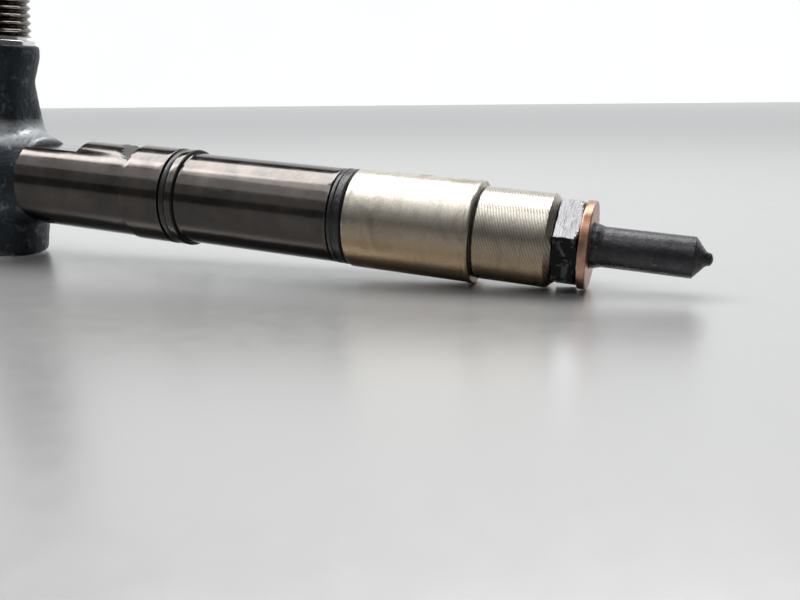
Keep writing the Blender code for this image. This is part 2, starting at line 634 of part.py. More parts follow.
def make_body(forging):
    flare = []
    for step in range(FLARE_STEPS + 1):
        share = step / FLARE_STEPS
        rise = (1 - math.cos(math.pi * share)) / 2
        flare.append((HEAD_FRONT_X - BARREL_FLARE * share, UPPER_BODY_R + (BARREL_R - UPPER_BODY_R) * rise))
    outline = [
        (NOSE_X, 0),
        (NOSE_X, SHANK_BORE_R - 2 * THREAD_GAP),
        (NOSE_X - 3 * THREAD_GAP - (NOSE_R - SHANK_BORE_R), NOSE_R),
        (LOWER_FRONT_X, NOSE_R),
        (LOWER_FRONT_X, LOWER_BODY_R - LOOSE_GAP),
        (LOWER_FRONT_X - LOOSE_GAP, LOWER_BODY_R),
        (BAND_FRONT_X, LOWER_BODY_R),
        (BAND_FRONT_X, BAND_R - BAND_CHAMFER),
        (BAND_FRONT_X - BAND_CHAMFER, BAND_R),
        (GROOVE_FRONT_X, BAND_R),
        (GROOVE_FRONT_X, BAND_R - GROOVE_DEPTH),
        (GROOVE_BACK_X, BAND_R - GROOVE_DEPTH),
        (GROOVE_BACK_X, BAND_R),
        (BAND_BACK_X + LOOSE_GAP, BAND_R),
        (BAND_BACK_X, UPPER_BODY_R),
    ]
    outline += flare
    outline += [
        (BARREL_BACK_X + COLLAR_LENGTH + COLLAR_R - BARREL_R, BARREL_R),
        (BARREL_BACK_X + COLLAR_LENGTH, COLLAR_R),
        (BARREL_BACK_X, COLLAR_R),
        (BARREL_BACK_X, BODY_THREAD_R),
        (BODY_REAR_X + LOOSE_GAP, BODY_THREAD_R),
        (BODY_REAR_X, BODY_THREAD_R - LOOSE_GAP),
        (BODY_REAR_X, 0),
    ]
    body = turned("injector_body", outline, forging)

    stub_end = [(-STUB_REACH, 0), (-STUB_REACH, STUB_R - STUB_EDGE)]
    stub_end += arc(-STUB_REACH + STUB_EDGE, STUB_R - STUB_EDGE, STUB_EDGE, 150, 90, 3)
    stub_end += [(LEAK_OFF_R, STUB_R), (LEAK_OFF_R, 0)]
    stub = turned("leak_off_stub", stub_end, None, STANDING, upright(STUB_X, STANDING))
    thread_edge = INLET_THREAD_R - 3 * LOOSE_GAP
    end = [
        (ARM_HEAD_Z - OVERRUN, 0),
        (ARM_HEAD_Z - OVERRUN, INLET_THREAD_R),
        (INLET_MOUTH_Z - 3 * LOOSE_GAP, INLET_THREAD_R),
        (INLET_MOUTH_Z, thread_edge),
        (INLET_MOUTH_Z, 0),
    ]
    inlet_end = turned("inlet_thread", end, None, STANDING, upright(STUB_X, STANDING))
    join(body, stub, make_inlet_arm(), inlet_end)

    bore = [
        (NOSE_X + OVERRUN, 0),
        (NOSE_X + OVERRUN, CHAMBER_R),
        (CHAMBER_BACK_X, CHAMBER_R),
        (CHAMBER_BACK_X, PISTON_R + RUNNING_GAP),
        (CONTROL_FLOOR_X, PISTON_R + RUNNING_GAP),
        (CONTROL_FLOOR_X, CONTROL_BORE_R),
        (CLAMP_RING_X, CONTROL_BORE_R),
        (CLAMP_RING_X, ARMATURE_BORE_R),
        (BODY_REAR_X - OVERRUN, ARMATURE_BORE_R),
        (BODY_REAR_X - OVERRUN, 0),
    ]
    cut(body, turned("body_bore", bore, None, ROUND))
    passage = along(
        (NOSE_X + OVERRUN, 0, PASSAGE_OFFSET),
        (CONTROL_FLOOR_X - LOOSE_GAP, 0, PASSAGE_OFFSET),
        "pressure_passage",
        PASSAGE_R,
    )
    cone_depth = (INLET_CONE_R - INLET_BORE_R) * math.sqrt(3)
    inlet_bore = [
        (PASSAGE_OFFSET, 0),
        (PASSAGE_OFFSET, PASSAGE_R),
        (INLET_MOUTH_Z - INLET_BORE_LENGTH, PASSAGE_R),
        (INLET_MOUTH_Z - INLET_BORE_LENGTH, INLET_BORE_R),
        (INLET_MOUTH_Z - cone_depth, INLET_BORE_R),
        (INLET_MOUTH_Z, INLET_CONE_R),
        (INLET_MOUTH_Z + OVERRUN, INLET_CONE_R + OVERRUN),
        (INLET_MOUTH_Z + OVERRUN, 0),
    ]
    cut(body, passage, turned("inlet_bore", inlet_bore, None, FINE, upright(STUB_X, FINE)))
    leak_off_z = -CONTROL_BORE_R + 2 * LEAK_OFF_R / 3
    stand = upright(STUB_X, DRILLED)
    leak_off = rod("leak_off_hole", -STUB_REACH - OVERRUN, leak_off_z, LEAK_OFF_R, None, DRILLED, stand)
    leak_off_cross = along(
        (STUB_X + LEAK_OFF_R / 2, 0, leak_off_z - LEAK_OFF_R / 3),
        (CONTROL_FLOOR_X - LOOSE_GAP, 0, leak_off_z - LEAK_OFF_R / 3),
        "leak_off_cross_hole",
        PASSAGE_R,
    )
    cut(body, leak_off, leak_off_cross)
    cut_top_flats(body)
    cut_clamp_flats(body)
    for index, place in dowel_positions():
        cut(body, dowel_hole("body", index, place))
    groove_r = (ARMATURE_BORE_R + BODY_THREAD_R) / 2
    groove = ring(
        "face_seal_groove",
        BODY_REAR_X - OVERRUN,
        BODY_REAR_X + 2 * SEAL_R + SEAT_GAP,
        groove_r - SEAL_R - SEAT_GAP,
        groove_r + SEAL_R + SEAT_GAP,
    )
    cut(body, groove)


def cut_clamp_flats(body):
    """Two flats beside the arm's rear, with a shoulder that the engine's clamp presses on."""
    flat_y = BARREL_R - CLAMP_FLAT_DEPTH
    outer_y = COLLAR_R + OVERRUN
    back_x = BARREL_BACK_X - OVERRUN
    right = box("clamp_flat_right", (back_x, flat_y, -BARREL_R), (CLAMP_FLAT_X, outer_y, BARREL_R))
    left = box("clamp_flat_left", (back_x, -outer_y, -BARREL_R), (CLAMP_FLAT_X, -flat_y, BARREL_R))
    cut(body, right, left)


def cut_top_flats(body):
    """A milled flat along the top of the upper body, and a sloping notch beside the band."""
    flat = box(
        "top_flat",
        (HEAD_FRONT_X - 2 * LOOSE_GAP, -UPPER_BODY_R, UPPER_BODY_R - TOP_FLAT_DEPTH),
        (HEAD_FRONT_X + TOP_FLAT_LENGTH, UPPER_BODY_R, UPPER_BODY_R + OVERRUN),
    )
    notch_z = UPPER_BODY_R - TOP_NOTCH_DEPTH
    notch_end_x = BAND_BACK_X - SEAT_GAP
    wedge = [
        (notch_end_x - TOP_NOTCH_LENGTH, UPPER_BODY_R + SEAT_GAP),
        (notch_end_x - TOP_NOTCH_FLOOR, notch_z),
        (notch_end_x, notch_z),
        (notch_end_x, UPPER_BODY_R + OVERRUN),
        (notch_end_x - TOP_NOTCH_LENGTH, UPPER_BODY_R + OVERRUN),
    ]
    on_edge = Matrix.Rotation(math.pi / 2, 4, "X")
    notch = prism("top_notch", wedge, -UPPER_BODY_R, UPPER_BODY_R, None, on_edge)
    cut(body, flat, notch)


def make_body_rings(rubber):
    ring_r = (LOWER_BODY_R + RING_PROUD + NOSE_R + LOOSE_GAP) / 2
    section_r = (LOWER_BODY_R + RING_PROUD - NOSE_R - LOOSE_GAP) / 2
    middle = (RING_FRONT_X + RING_BACK_X) / 2
    seal_ring("nut_o_ring", middle, ring_r, section_r, rubber, RING_WIDTH / 2 / section_r)
    groove_middle = (GROOVE_FRONT_X + GROOVE_BACK_X) / 2
    section_r = (GROOVE_WIDTH / 2 - SEAT_GAP) / SEAL_STRETCH
    ring_r = BAND_R - GROOVE_DEPTH + SEAT_GAP + section_r
    seal_ring("band_o_ring", groove_middle, ring_r, section_r, rubber, SEAL_STRETCH)


def make_inlet_filter(steel):
    top = INLET_MOUTH_Z - FILTER_SETBACK
    radius = INLET_BORE_R - SEAT_GAP
    outline = [
        (top - FILTER_LENGTH, 0),
        (top - FILTER_LENGTH, radius - 2 * LOOSE_GAP),
        (top - FILTER_LENGTH + 2 * LOOSE_GAP, radius),
        (top - 2 * LOOSE_GAP, radius),
        (top, radius - 2 * LOOSE_GAP),
        (top, 0),
    ]
    turned("inlet_filter", outline, steel, FINE, upright(STUB_X, FINE))


def make_needle_train(steel, spring_steel):
    pin_front_x = NOSE_X - SEAT_GAP - NEEDLE_LIFT
    pin_back_x = pin_front_x - PRESSURE_PIN_LENGTH
    spigot_r = SPRING_INNER_R - LOOSE_GAP
    flange_x = pin_front_x - PRESSURE_PIN_LENGTH / 2
    outline = [
        (pin_front_x + NEEDLE_LIFT, 0),
        (pin_front_x + NEEDLE_LIFT, NEEDLE_PIN_R),
        (pin_front_x, SPRING_OUTER_R - LOOSE_GAP),
        (flange_x, SPRING_OUTER_R - LOOSE_GAP),
        (flange_x, spigot_r),
        (pin_back_x, spigot_r),
        (pin_back_x, 0),
    ]
    turned("pressure_pin", outline, steel, FINE)
    shim_back_x = CHAMBER_BACK_X + SEAT_GAP
    shim_front_x = shim_back_x + SPRING_SHIM_THICK
    ring("spring_shim", shim_back_x, shim_front_x, PISTON_R + LOOSE_GAP, SPRING_OUTER_R, steel, FINE)
    coil_spring(
        "nozzle_spring",
        shim_front_x + SEAT_GAP,
        flange_x - SEAT_GAP,
        SPRING_MEAN_R,
        NOZZLE_SPRING_WIRE_R,
        NOZZLE_SPRING_TURNS,
        spring_steel,
    )
    piston_pin_r = min(PISTON_PIN_R, SPRING_INNER_R - LOOSE_GAP)
    piston = [
        (pin_back_x - SEAT_GAP, 0),
        (pin_back_x - SEAT_GAP, piston_pin_r),
        (CHAMBER_BACK_X - LOOSE_GAP, piston_pin_r),
        (CHAMBER_BACK_X - 2 * OVERRUN, PISTON_R),
        (CONTROL_FLOOR_X + NEEDLE_LIFT + 2 * LOOSE_GAP, PISTON_R),
        (CONTROL_FLOOR_X + NEEDLE_LIFT + LOOSE_GAP, PISTON_R - LOOSE_GAP),
        (CONTROL_FLOOR_X + NEEDLE_LIFT + LOOSE_GAP, 0),
    ]
    turned("command_piston", piston, steel, ROUND)


def make_control_valve(steel, ball_steel):
    plate = ring("orifice_plate", PLATE_FRONT_X, PLATE_BACK_X, ORIFICE_R, CONTROL_R, steel)
    feed = along(
        (PLATE_FRONT_X + LOOSE_GAP, 0, PASSAGE_OFFSET),
        (PLATE_FRONT_X - PLATE_LENGTH / 2, 0, ORIFICE_R / 2),
        "orifice_feed_hole",
        ORIFICE_R,
    )
    cut(plate, feed)
    ball = [(BALL_X + BALL_R, 0)] + arc(BALL_X, 0, BALL_R, 22.5, 157.5, 6) + [(BALL_X - BALL_R, 0)]
    turned("valve_ball", ball, ball_steel, 16)

    stem_hole_r = ARMATURE_STEM_R + RUNNING_GAP
    guide = [
        (GUIDE_FRONT_X, BALL_SPACE_R),
        (GUIDE_FRONT_X, CONTROL_R),
        (GUIDE_BACK_X, CONTROL_R),
        (GUIDE_BACK_X, stem_hole_r),
        (GUIDE_FRONT_X - BALL_SPACE_LENGTH, stem_hole_r),
        (GUIDE_FRONT_X - BALL_SPACE_LENGTH, BALL_SPACE_R),
    ]
    turned("armature_guide", guide, steel)
    ring_outer = ARMATURE_BORE_R - LOOSE_GAP
    clamp_ring = [
        (CLAMP_RING_X - SEAT_GAP / 2, ring_outer - CLAMP_RING_WALL),
        (CLAMP_RING_X - SEAT_GAP / 2, ring_outer),
        (ARMATURE_SPACE_X, ring_outer),
        (ARMATURE_SPACE_X, ring_outer - CLAMP_RING_WALL),
    ]
    turned("valve_clamp_ring", clamp_ring, steel)


def make_armature(steel):
    disc = [
        (BALL_X - BALL_R - SEAT_GAP / 2, 0),
        (BALL_X - BALL_R - SEAT_GAP / 2, ARMATURE_STEM_R),
        (DISC_FRONT_X, ARMATURE_STEM_R),
        (DISC_FRONT_X, ARMATURE_DISC_R),
        (DISC_BACK_X, ARMATURE_DISC_R),
        (DISC_BACK_X, 0),
    ]
    armature = turned("armature", disc, steel)
    for index in range(6):
        angle = math.pi / 3 * index
        offset = (ARMATURE_DISC_R + ARMATURE_STEM_R) / 2
        place = Matrix.Translation((0, offset * math.cos(angle), offset * math.sin(angle)))
        hole_end_x = DISC_FRONT_X + OVERRUN / 2
        name = f"armature_hole_{index}"
        cut(armature, drilled(name, DISC_BACK_X - OVERRUN, hole_end_x, ARMATURE_HOLE_R, None, place))


def make_solenoid(iron, steel, copper, plastic, rubber, spring_steel):
    slot_x = CORE_BACK_X + CORE_YOKE
    core = [
        (CORE_FACE_X, CORE_BORE_R),
        (CORE_FACE_X, CORE_INNER_POLE_R),
        (slot_x, CORE_INNER_POLE_R),
        (slot_x, COIL_SLOT_R),
        (CORE_FACE_X, COIL_SLOT_R),
        (CORE_FACE_X, CORE_R),
        (CORE_BACK_X, CORE_R),
        (CORE_BACK_X, 0),
    ]
    bore_end = CORE_BACK_X + CORE_YOKE / 2
    core = [(bore_end, 0), (bore_end, CORE_BORE_R)] + core
    turned("solenoid_core", core, iron)

    inner_r = CORE_INNER_POLE_R + SEAT_GAP
    outer_r = COIL_SLOT_R - SEAT_GAP
    front_x = CORE_FACE_X - 2 * SEAT_GAP
    back_x = slot_x + SEAT_GAP
    bobbin = [
        (front_x, inner_r),
        (front_x, outer_r),
        (front_x - BOBBIN_WALL, outer_r),
        (front_x - BOBBIN_WALL, inner_r + BOBBIN_WALL),
        (back_x + BOBBIN_WALL, inner_r + BOBBIN_WALL),
        (back_x + BOBBIN_WALL, outer_r),
        (back_x, outer_r),
        (back_x, inner_r),
    ]
    turned("coil_bobbin", bobbin, plastic)
    winding_front = front_x - BOBBIN_WALL - SEAT_GAP
    winding_back = back_x + BOBBIN_WALL + SEAT_GAP
    winding_inner = inner_r + BOBBIN_WALL + SEAT_GAP
    ring("coil_winding", winding_front, winding_back, winding_inner, outer_r - SEAT_GAP, copper)

    disc_back_x = bore_end + SEAT_GAP
    disc_front_x = disc_back_x + SPRING_DISC_THICK
    rod("armature_spring_shim", disc_back_x, disc_front_x, CORE_BORE_R - SEAT_GAP, steel, ROUND)
    mean_r = CORE_BORE_R - LOOSE_GAP - ARMATURE_SPRING_WIRE_R
    coil_spring(
        "armature_spring",
        disc_front_x + SEAT_GAP,
        DISC_BACK_X - SEAT_GAP / 2,
        mean_r,
        ARMATURE_SPRING_WIRE_R,
        ARMATURE_SPRING_TURNS,
        spring_steel,
    )

    flange_back_x = CAN_FRONT_X - CAN_FLANGE_LENGTH
    can = [
        (CAN_BACK_X, 0),
        (CAN_BACK_X, CAN_R - LOOSE_GAP),
        (CAN_BACK_X + LOOSE_GAP, CAN_R),
        (flange_back_x, CAN_R),
        (flange_back_x, CAN_FLANGE_R),
        (CAN_FRONT_X, CAN_FLANGE_R),
        (CAN_FRONT_X, CAN_BORE_R),
        (CORE_BACK_X - SEAT_GAP, CAN_BORE_R),
        (CORE_BACK_X - SEAT_GAP, 0),
    ]
    turned("solenoid_can", can, steel)
    groove_r = (ARMATURE_BORE_R + BODY_THREAD_R) / 2
    seal_ring("solenoid_o_ring", CAN_FRONT_X + SEAT_GAP + SEAL_R, groove_r, SEAL_R - SEAT_GAP / 2, rubber)


def make_solenoid_nut(steel):
    front_x = BARREL_BACK_X - 3 * LOOSE_GAP
    flange_back_x = CAN_FRONT_X - CAN_FLANGE_LENGTH
    nut = hexagon("solenoid_retaining_nut", SOLENOID_NUT_REAR_X, front_x, SOLENOID_NUT_FLATS, steel)
    bore = [
        (front_x + OVERRUN, 0),
        (front_x + OVERRUN, BODY_THREAD_R + THREAD_GAP),
        (flange_back_x - SEAT_GAP, BODY_THREAD_R + THREAD_GAP),
        (flange_back_x - SEAT_GAP, CAN_R + LOOSE_GAP),
        (SOLENOID_NUT_REAR_X - OVERRUN, CAN_R + LOOSE_GAP),
        (SOLENOID_NUT_REAR_X - OVERRUN, 0),
    ]
    corner_r = SOLENOID_NUT_FLATS / math.sqrt(3)
    crown = SOLENOID_NUT_CHAMFER
    rounding = [
        (SOLENOID_NUT_REAR_X - LOOSE_GAP, 0),
        (SOLENOID_NUT_REAR_X - LOOSE_GAP, corner_r - CROWN_SLOPE * crown),
        (SOLENOID_NUT_REAR_X + crown, corner_r + LOOSE_GAP),
        (front_x - crown, corner_r + LOOSE_GAP),
        (front_x + LOOSE_GAP, corner_r - CROWN_SLOPE * crown),
        (front_x + LOOSE_GAP, 0),
    ]
    boolean(nut, turned("solenoid_nut_crown", rounding), "INTERSECT")
    cut(nut, turned("solenoid_nut_bore", bore))


def pin_places():
    return [(1, SOCKET_CENTRE_X - PIN_SPACING / 2), (2, SOCKET_CENTRE_X + PIN_SPACING / 2)]


def make_connector(plastic, tin):
    bottom_z = SOCKET_TOP_Z - SOCKET_DEPTH
    shell = [
        (HOUSING_BACK_X, 0),
        (HOUSING_BACK_X, HOUSING_R - HOUSING_CORNER),
    ]
    shell += arc(HOUSING_BACK_X + HOUSING_CORNER, HOUSING_R - HOUSING_CORNER, HOUSING_CORNER, 150, 90, 3)
    shell += [
        (HOUSING_FRONT_X - LOOSE_GAP, HOUSING_R),
        (HOUSING_FRONT_X, HOUSING_R - LOOSE_GAP),
        (HOUSING_FRONT_X, 0),
    ]
    housing = turned("connector_housing", shell, plastic)
    walls = rounded_rectangle(SOCKET_CENTRE_X, SOCKET_X, SOCKET_Y, SOCKET_CORNER)
    join(housing, prism("socket_walls", walls, HOUSING_R / 4, SOCKET_TOP_Z))
    collar = rounded_rectangle(SOCKET_CENTRE_X, SOCKET_X, SOCKET_Y + 2 * COLLAR_STEP, SOCKET_CORNER)
    join(housing, prism("socket_collar", collar, HOUSING_R - OVERRUN, HOUSING_R + COLLAR_HEIGHT))
    inner_x = SOCKET_X - 2 * SOCKET_WALL
    inner_y = SOCKET_Y - 2 * SOCKET_WALL
    cavity = rounded_rectangle(SOCKET_CENTRE_X, inner_x, inner_y, SOCKET_CORNER - SOCKET_WALL / 2)
    cut(housing, prism("socket_cavity", cavity, bottom_z, SOCKET_TOP_Z + OVERRUN))
    can_space = [
        (HOUSING_FRONT_X + OVERRUN, 0),
        (HOUSING_FRONT_X + OVERRUN, HOUSING_BORE_R),
        (CAN_BACK_X - SEAT_GAP, HOUSING_BORE_R),
        (CAN_BACK_X - SEAT_GAP, 0),
    ]
    cut(housing, turned("can_space", can_space))
    for index, x in pin_places():
        low = (x - PIN_THICK / 2 - SEAT_GAP, -PIN_WIDTH / 2 - SEAT_GAP, bottom_z - PIN_ROOT)
        high = (x + PIN_THICK / 2 + SEAT_GAP, PIN_WIDTH / 2 + SEAT_GAP, bottom_z + OVERRUN)
        cut(housing, box(f"pin_slot_{index}", low, high))
        low = (x - PIN_THICK / 2, -PIN_WIDTH / 2, bottom_z - PIN_ROOT + SEAT_GAP)
        high = (x + PIN_THICK / 2, PIN_WIDTH / 2, bottom_z + PIN_HEIGHT)
        box(f"terminal_pin_{index}", low, high, tin)


def main():
    clear_scene()
    forging = material("black_forging", (0.035, 0.032, 0.030), 0.3, 0.9)
    satin = material("satin_steel", (0.62, 0.58, 0.50), 0.35, 1.0)
    sooty = material("sooty_steel", (0.06, 0.06, 0.065), 0.45, 0.8)
    bright = material("ground_steel", (0.68, 0.68, 0.68), 0.2, 1.0)
    spring_steel = material("spring_steel", (0.35, 0.35, 0.37), 0.3, 1.0)
    zinc = material("zinc_plate", (0.62, 0.62, 0.60), 0.35, 1.0)
    iron = material("core_iron", (0.32, 0.31, 0.30), 0.5, 0.9)
    copper = material("washer_copper", (0.72, 0.38, 0.24), 0.35, 1.0)
    wire = material("winding_copper", (0.62, 0.28, 0.12), 0.35, 1.0)
    bobbin_plastic = material("bobbin_plastic", (0.55, 0.52, 0.42), 0.5, 0.0)
    housing_plastic = material("housing_plastic", (0.03, 0.03, 0.032), 0.5, 0.0)
    rubber = material("black_rubber", (0.015, 0.015, 0.015), 0.4, 0.0)
    tin = material("tinned_brass", (0.70, 0.68, 0.62), 0.3, 1.0)

    make_washer(copper)
    make_nozzle(sooty)
    make_needle(bright)
    make_distance_piece(bright)
    make_dowels(bright)
    make_nozzle_nut(satin)
    make_body(forging)
    make_body_rings(rubber)
    make_inlet_filter(bright)
    make_needle_train(bright, spring_steel)
    make_control_valve(bright, bright)
    make_armature(iron)
    make_solenoid(iron, zinc, wire, bobbin_plastic, rubber, spring_steel)
    make_solenoid_nut(zinc)
    make_connector(housing_plastic, tin)


main()
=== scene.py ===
"""Looks for the fuel injector: detailed pieces, materials, light, floor and camera.

Lengths are in millimetres in the tables and turned into metres as each mesh is made. The
injector lies along X with its tip at +X, its inlet arm at +Z and its leak-off stub at -Z.
"""

import math

import bmesh
import bpy
import numpy as np
from mathutils import Matrix, Vector, noise


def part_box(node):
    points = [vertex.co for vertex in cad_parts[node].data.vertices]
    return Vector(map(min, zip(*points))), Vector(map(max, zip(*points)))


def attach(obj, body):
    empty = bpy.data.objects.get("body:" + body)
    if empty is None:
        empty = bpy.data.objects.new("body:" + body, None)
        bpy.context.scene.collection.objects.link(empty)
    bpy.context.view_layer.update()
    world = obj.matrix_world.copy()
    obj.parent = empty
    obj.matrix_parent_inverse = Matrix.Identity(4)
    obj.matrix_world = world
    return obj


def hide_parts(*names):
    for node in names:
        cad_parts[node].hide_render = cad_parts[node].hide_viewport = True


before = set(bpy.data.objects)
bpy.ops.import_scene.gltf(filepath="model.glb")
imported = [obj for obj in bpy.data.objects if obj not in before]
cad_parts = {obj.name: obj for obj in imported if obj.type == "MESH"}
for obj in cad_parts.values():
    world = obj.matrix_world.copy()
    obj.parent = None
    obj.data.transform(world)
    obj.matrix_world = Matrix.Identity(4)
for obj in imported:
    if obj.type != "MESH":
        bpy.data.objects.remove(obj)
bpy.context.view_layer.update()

MM = 0.001
BODY = "injector"

# Stations along X and radii, in millimetres, as in the CAD model
NOSE_X = -29.85
RING_FRONT_X = -43.55
RING_BACK_X = -46.35
LOWER_FRONT_X = -46.45
BAND_FRONT_X = -78.15
GROOVE_FRONT_X = -79.95
GROOVE_BACK_X = -81.65
BAND_BACK_X = -90.25
HEAD_FRONT_X = -115.5
STUB_X = -127.4
BARREL_BACK_X = -143.0
THREAD_BACK_X = -153.0
LOWER_R = 8.87
BAND_R = 9.52
UPPER_R = 9.18
BARREL_R = 11.0
COLLAR_R = 12.5
NOSE_R = 7.6
NUT_R = 9.2
NUT_SMALL_R = 8.25
HEX_FLATS = 14.0
SOLENOID_FLATS = 27.0
STUB_R = 8.75
STUB_Z = -16.9
SHANK_R = 6.5
STEM_R = 3.5
WASHER_R = 7.7
WASHER_BORE_R = 4.06

# The machined flat and the notch in the top of the upper body
FLAT_BACK_X = HEAD_FRONT_X - 0.4
FLAT_FRONT_X = HEAD_FRONT_X + 12.2
FLAT_LEVEL = UPPER_R - 1.8
NOTCH_BACK_X = BAND_BACK_X - 5.1
NOTCH_FRONT_X = BAND_BACK_X - 0.1
NOTCH_SLOPE = 4.0
NOTCH_DEPTH = 2.3

# The nozzle nut: its rear, its bead, the step to the small diameter, and the hexagon
NUT_BACK_X = -43.4
BEAD_BACK_X = -20.97
STEP_X = -19.85
SMALL_BACK_X = -19.25
NUT_FRONT_X = -5.55
HEX_BACK_X = -5.7
HEX_FRONT_X = -1.70
HEX_CORNER_DEGREES = 165.0

# The inlet arm's machined end, along Z
NECK_Z = 27.0
THREAD_Z = 29.0
INLET_TOP_Z = 40.0
INLET_THREAD_R = 7.0
THREAD_PITCH = 1.5
THREAD_DEPTH = 0.75


def finish_mesh(name, bm, material, sharp=32.0):
    """Makes a piece of a bmesh. Edges over sharp degrees stay sharp."""
    bmesh.ops.remove_doubles(bm, verts=bm.verts, dist=1e-7)
    bmesh.ops.recalc_face_normals(bm, faces=bm.faces)
    mesh = bpy.data.meshes.new(name)
    bm.to_mesh(mesh)
    bm.free()
    return add_piece(name, mesh, material, sharp)


def add_piece(name, mesh, material, sharp):
    mesh.shade_smooth()
    mesh.set_sharp_from_angle(angle=math.radians(sharp))
    mesh.materials.clear()
    mesh.materials.append(material)
    obj = bpy.data.objects.new(name, mesh)
    bpy.context.scene.collection.objects.link(obj)
    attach(obj, BODY)
    return obj


def stand_for(obj, slot, *nodes):
    """The piece takes the place of CAD nodes, which are hidden. slot is not used."""
    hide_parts(*nodes)


def join_into(target, part):
    """Adds one bmesh to another."""
    mesh = mesh_of(part)
    target.from_mesh(mesh)
    bpy.data.meshes.remove(mesh)


def mesh_of(bm):
    mesh = bpy.data.meshes.new("part")
    bm.to_mesh(mesh)
    bm.free()
    return mesh


def rounded(points, steps=4):
    """An outline of (x, r) or (x, r, corner radius) points, with its corners rounded."""
    outline = []
    for index, point in enumerate(points):
        here = Vector(point[:2])
        if len(point) < 3 or index in (0, len(points) - 1):
            outline.append(here)
            continue
        before = (Vector(points[index - 1][:2]) - here).normalized()
        after = (Vector(points[index + 1][:2]) - here).normalized()
        half = math.acos(max(-1, min(1, before.dot(after)))) / 2
        reach = point[2] / math.tan(half)
        centre = here + (before + after).normalized() * point[2] / math.sin(half)
        start = here + before * reach - centre
        end = here + after * reach - centre
        for step in range(steps + 1):
            share = step / steps
            outline.append(centre + start.slerp(end, share).normalized() * point[2])
    return [(p[0], p[1]) for p in outline]


def divided(outline, longest):
    """The outline with long stretches divided, so that its mesh is even."""
    points = [outline[0]]
    for a, b in zip(outline, outline[1:]):
        count = max(1, math.ceil(math.dist(a, b) / longest))
        for step in range(1, count + 1):
            x = a[0] + (b[0] - a[0]) * step / count
            r = a[1] + (b[1] - a[1]) * step / count
            points.append((x, r))
    return points


def turned_row(bm, x, r, sides, shape):
    """One ring of points round X, or one point shared by all sides where the radius is 0."""
    if r == 0:
        return [bm.verts.new((x * MM, 0, 0))] * sides
    row = []
    for side in range(sides):
        angle = 2 * math.pi * side / sides
        radius = shape(x, angle, r) if shape else r
        y = radius * MM * math.cos(angle)
        z = radius * MM * math.sin(angle)
        row.append(bm.verts.new((x * MM, y, z)))
    return row


def turned_bmesh(outline, sides, shape=None, closed=False, upright=None):
    """Turns an outline of (x, r) points about X.

    shape(x, angle, r) may change each radius. closed joins the outline's end to its start.
    upright is the X at which the shape stands along Z instead.
    """
    bm = bmesh.new()
    rows = [turned_row(bm, x, r, sides, shape) for x, r in outline]
    pairs = list(zip(rows, rows[1:]))
    if closed:
        pairs.append((rows[-1], rows[0]))
    for a, b in pairs:
        for side in range(sides):
            after = (side + 1) % sides
            corners = []
            for vert in (a[side], a[after], b[after], b[side]):
                if vert not in corners:
                    corners.append(vert)
            if len(corners) > 2:
                bm.faces.new(corners)
    if upright is not None:
        place = Matrix.Translation((upright * MM, 0, 0)) @ Matrix.Rotation(-math.pi / 2, 4, "Y")
        bmesh.ops.transform(bm, matrix=place, verts=bm.verts)
    return bm


def hex_radius(angle, flats, corner):
    """Radius of a hexagon at an angle from +Y towards +Z, with a corner at that angle."""
    away = (angle - corner) % (math.pi / 3) - math.pi / 6
    return flats / 2 / math.cos(away)


# ---------------------------------------------------------------- materials


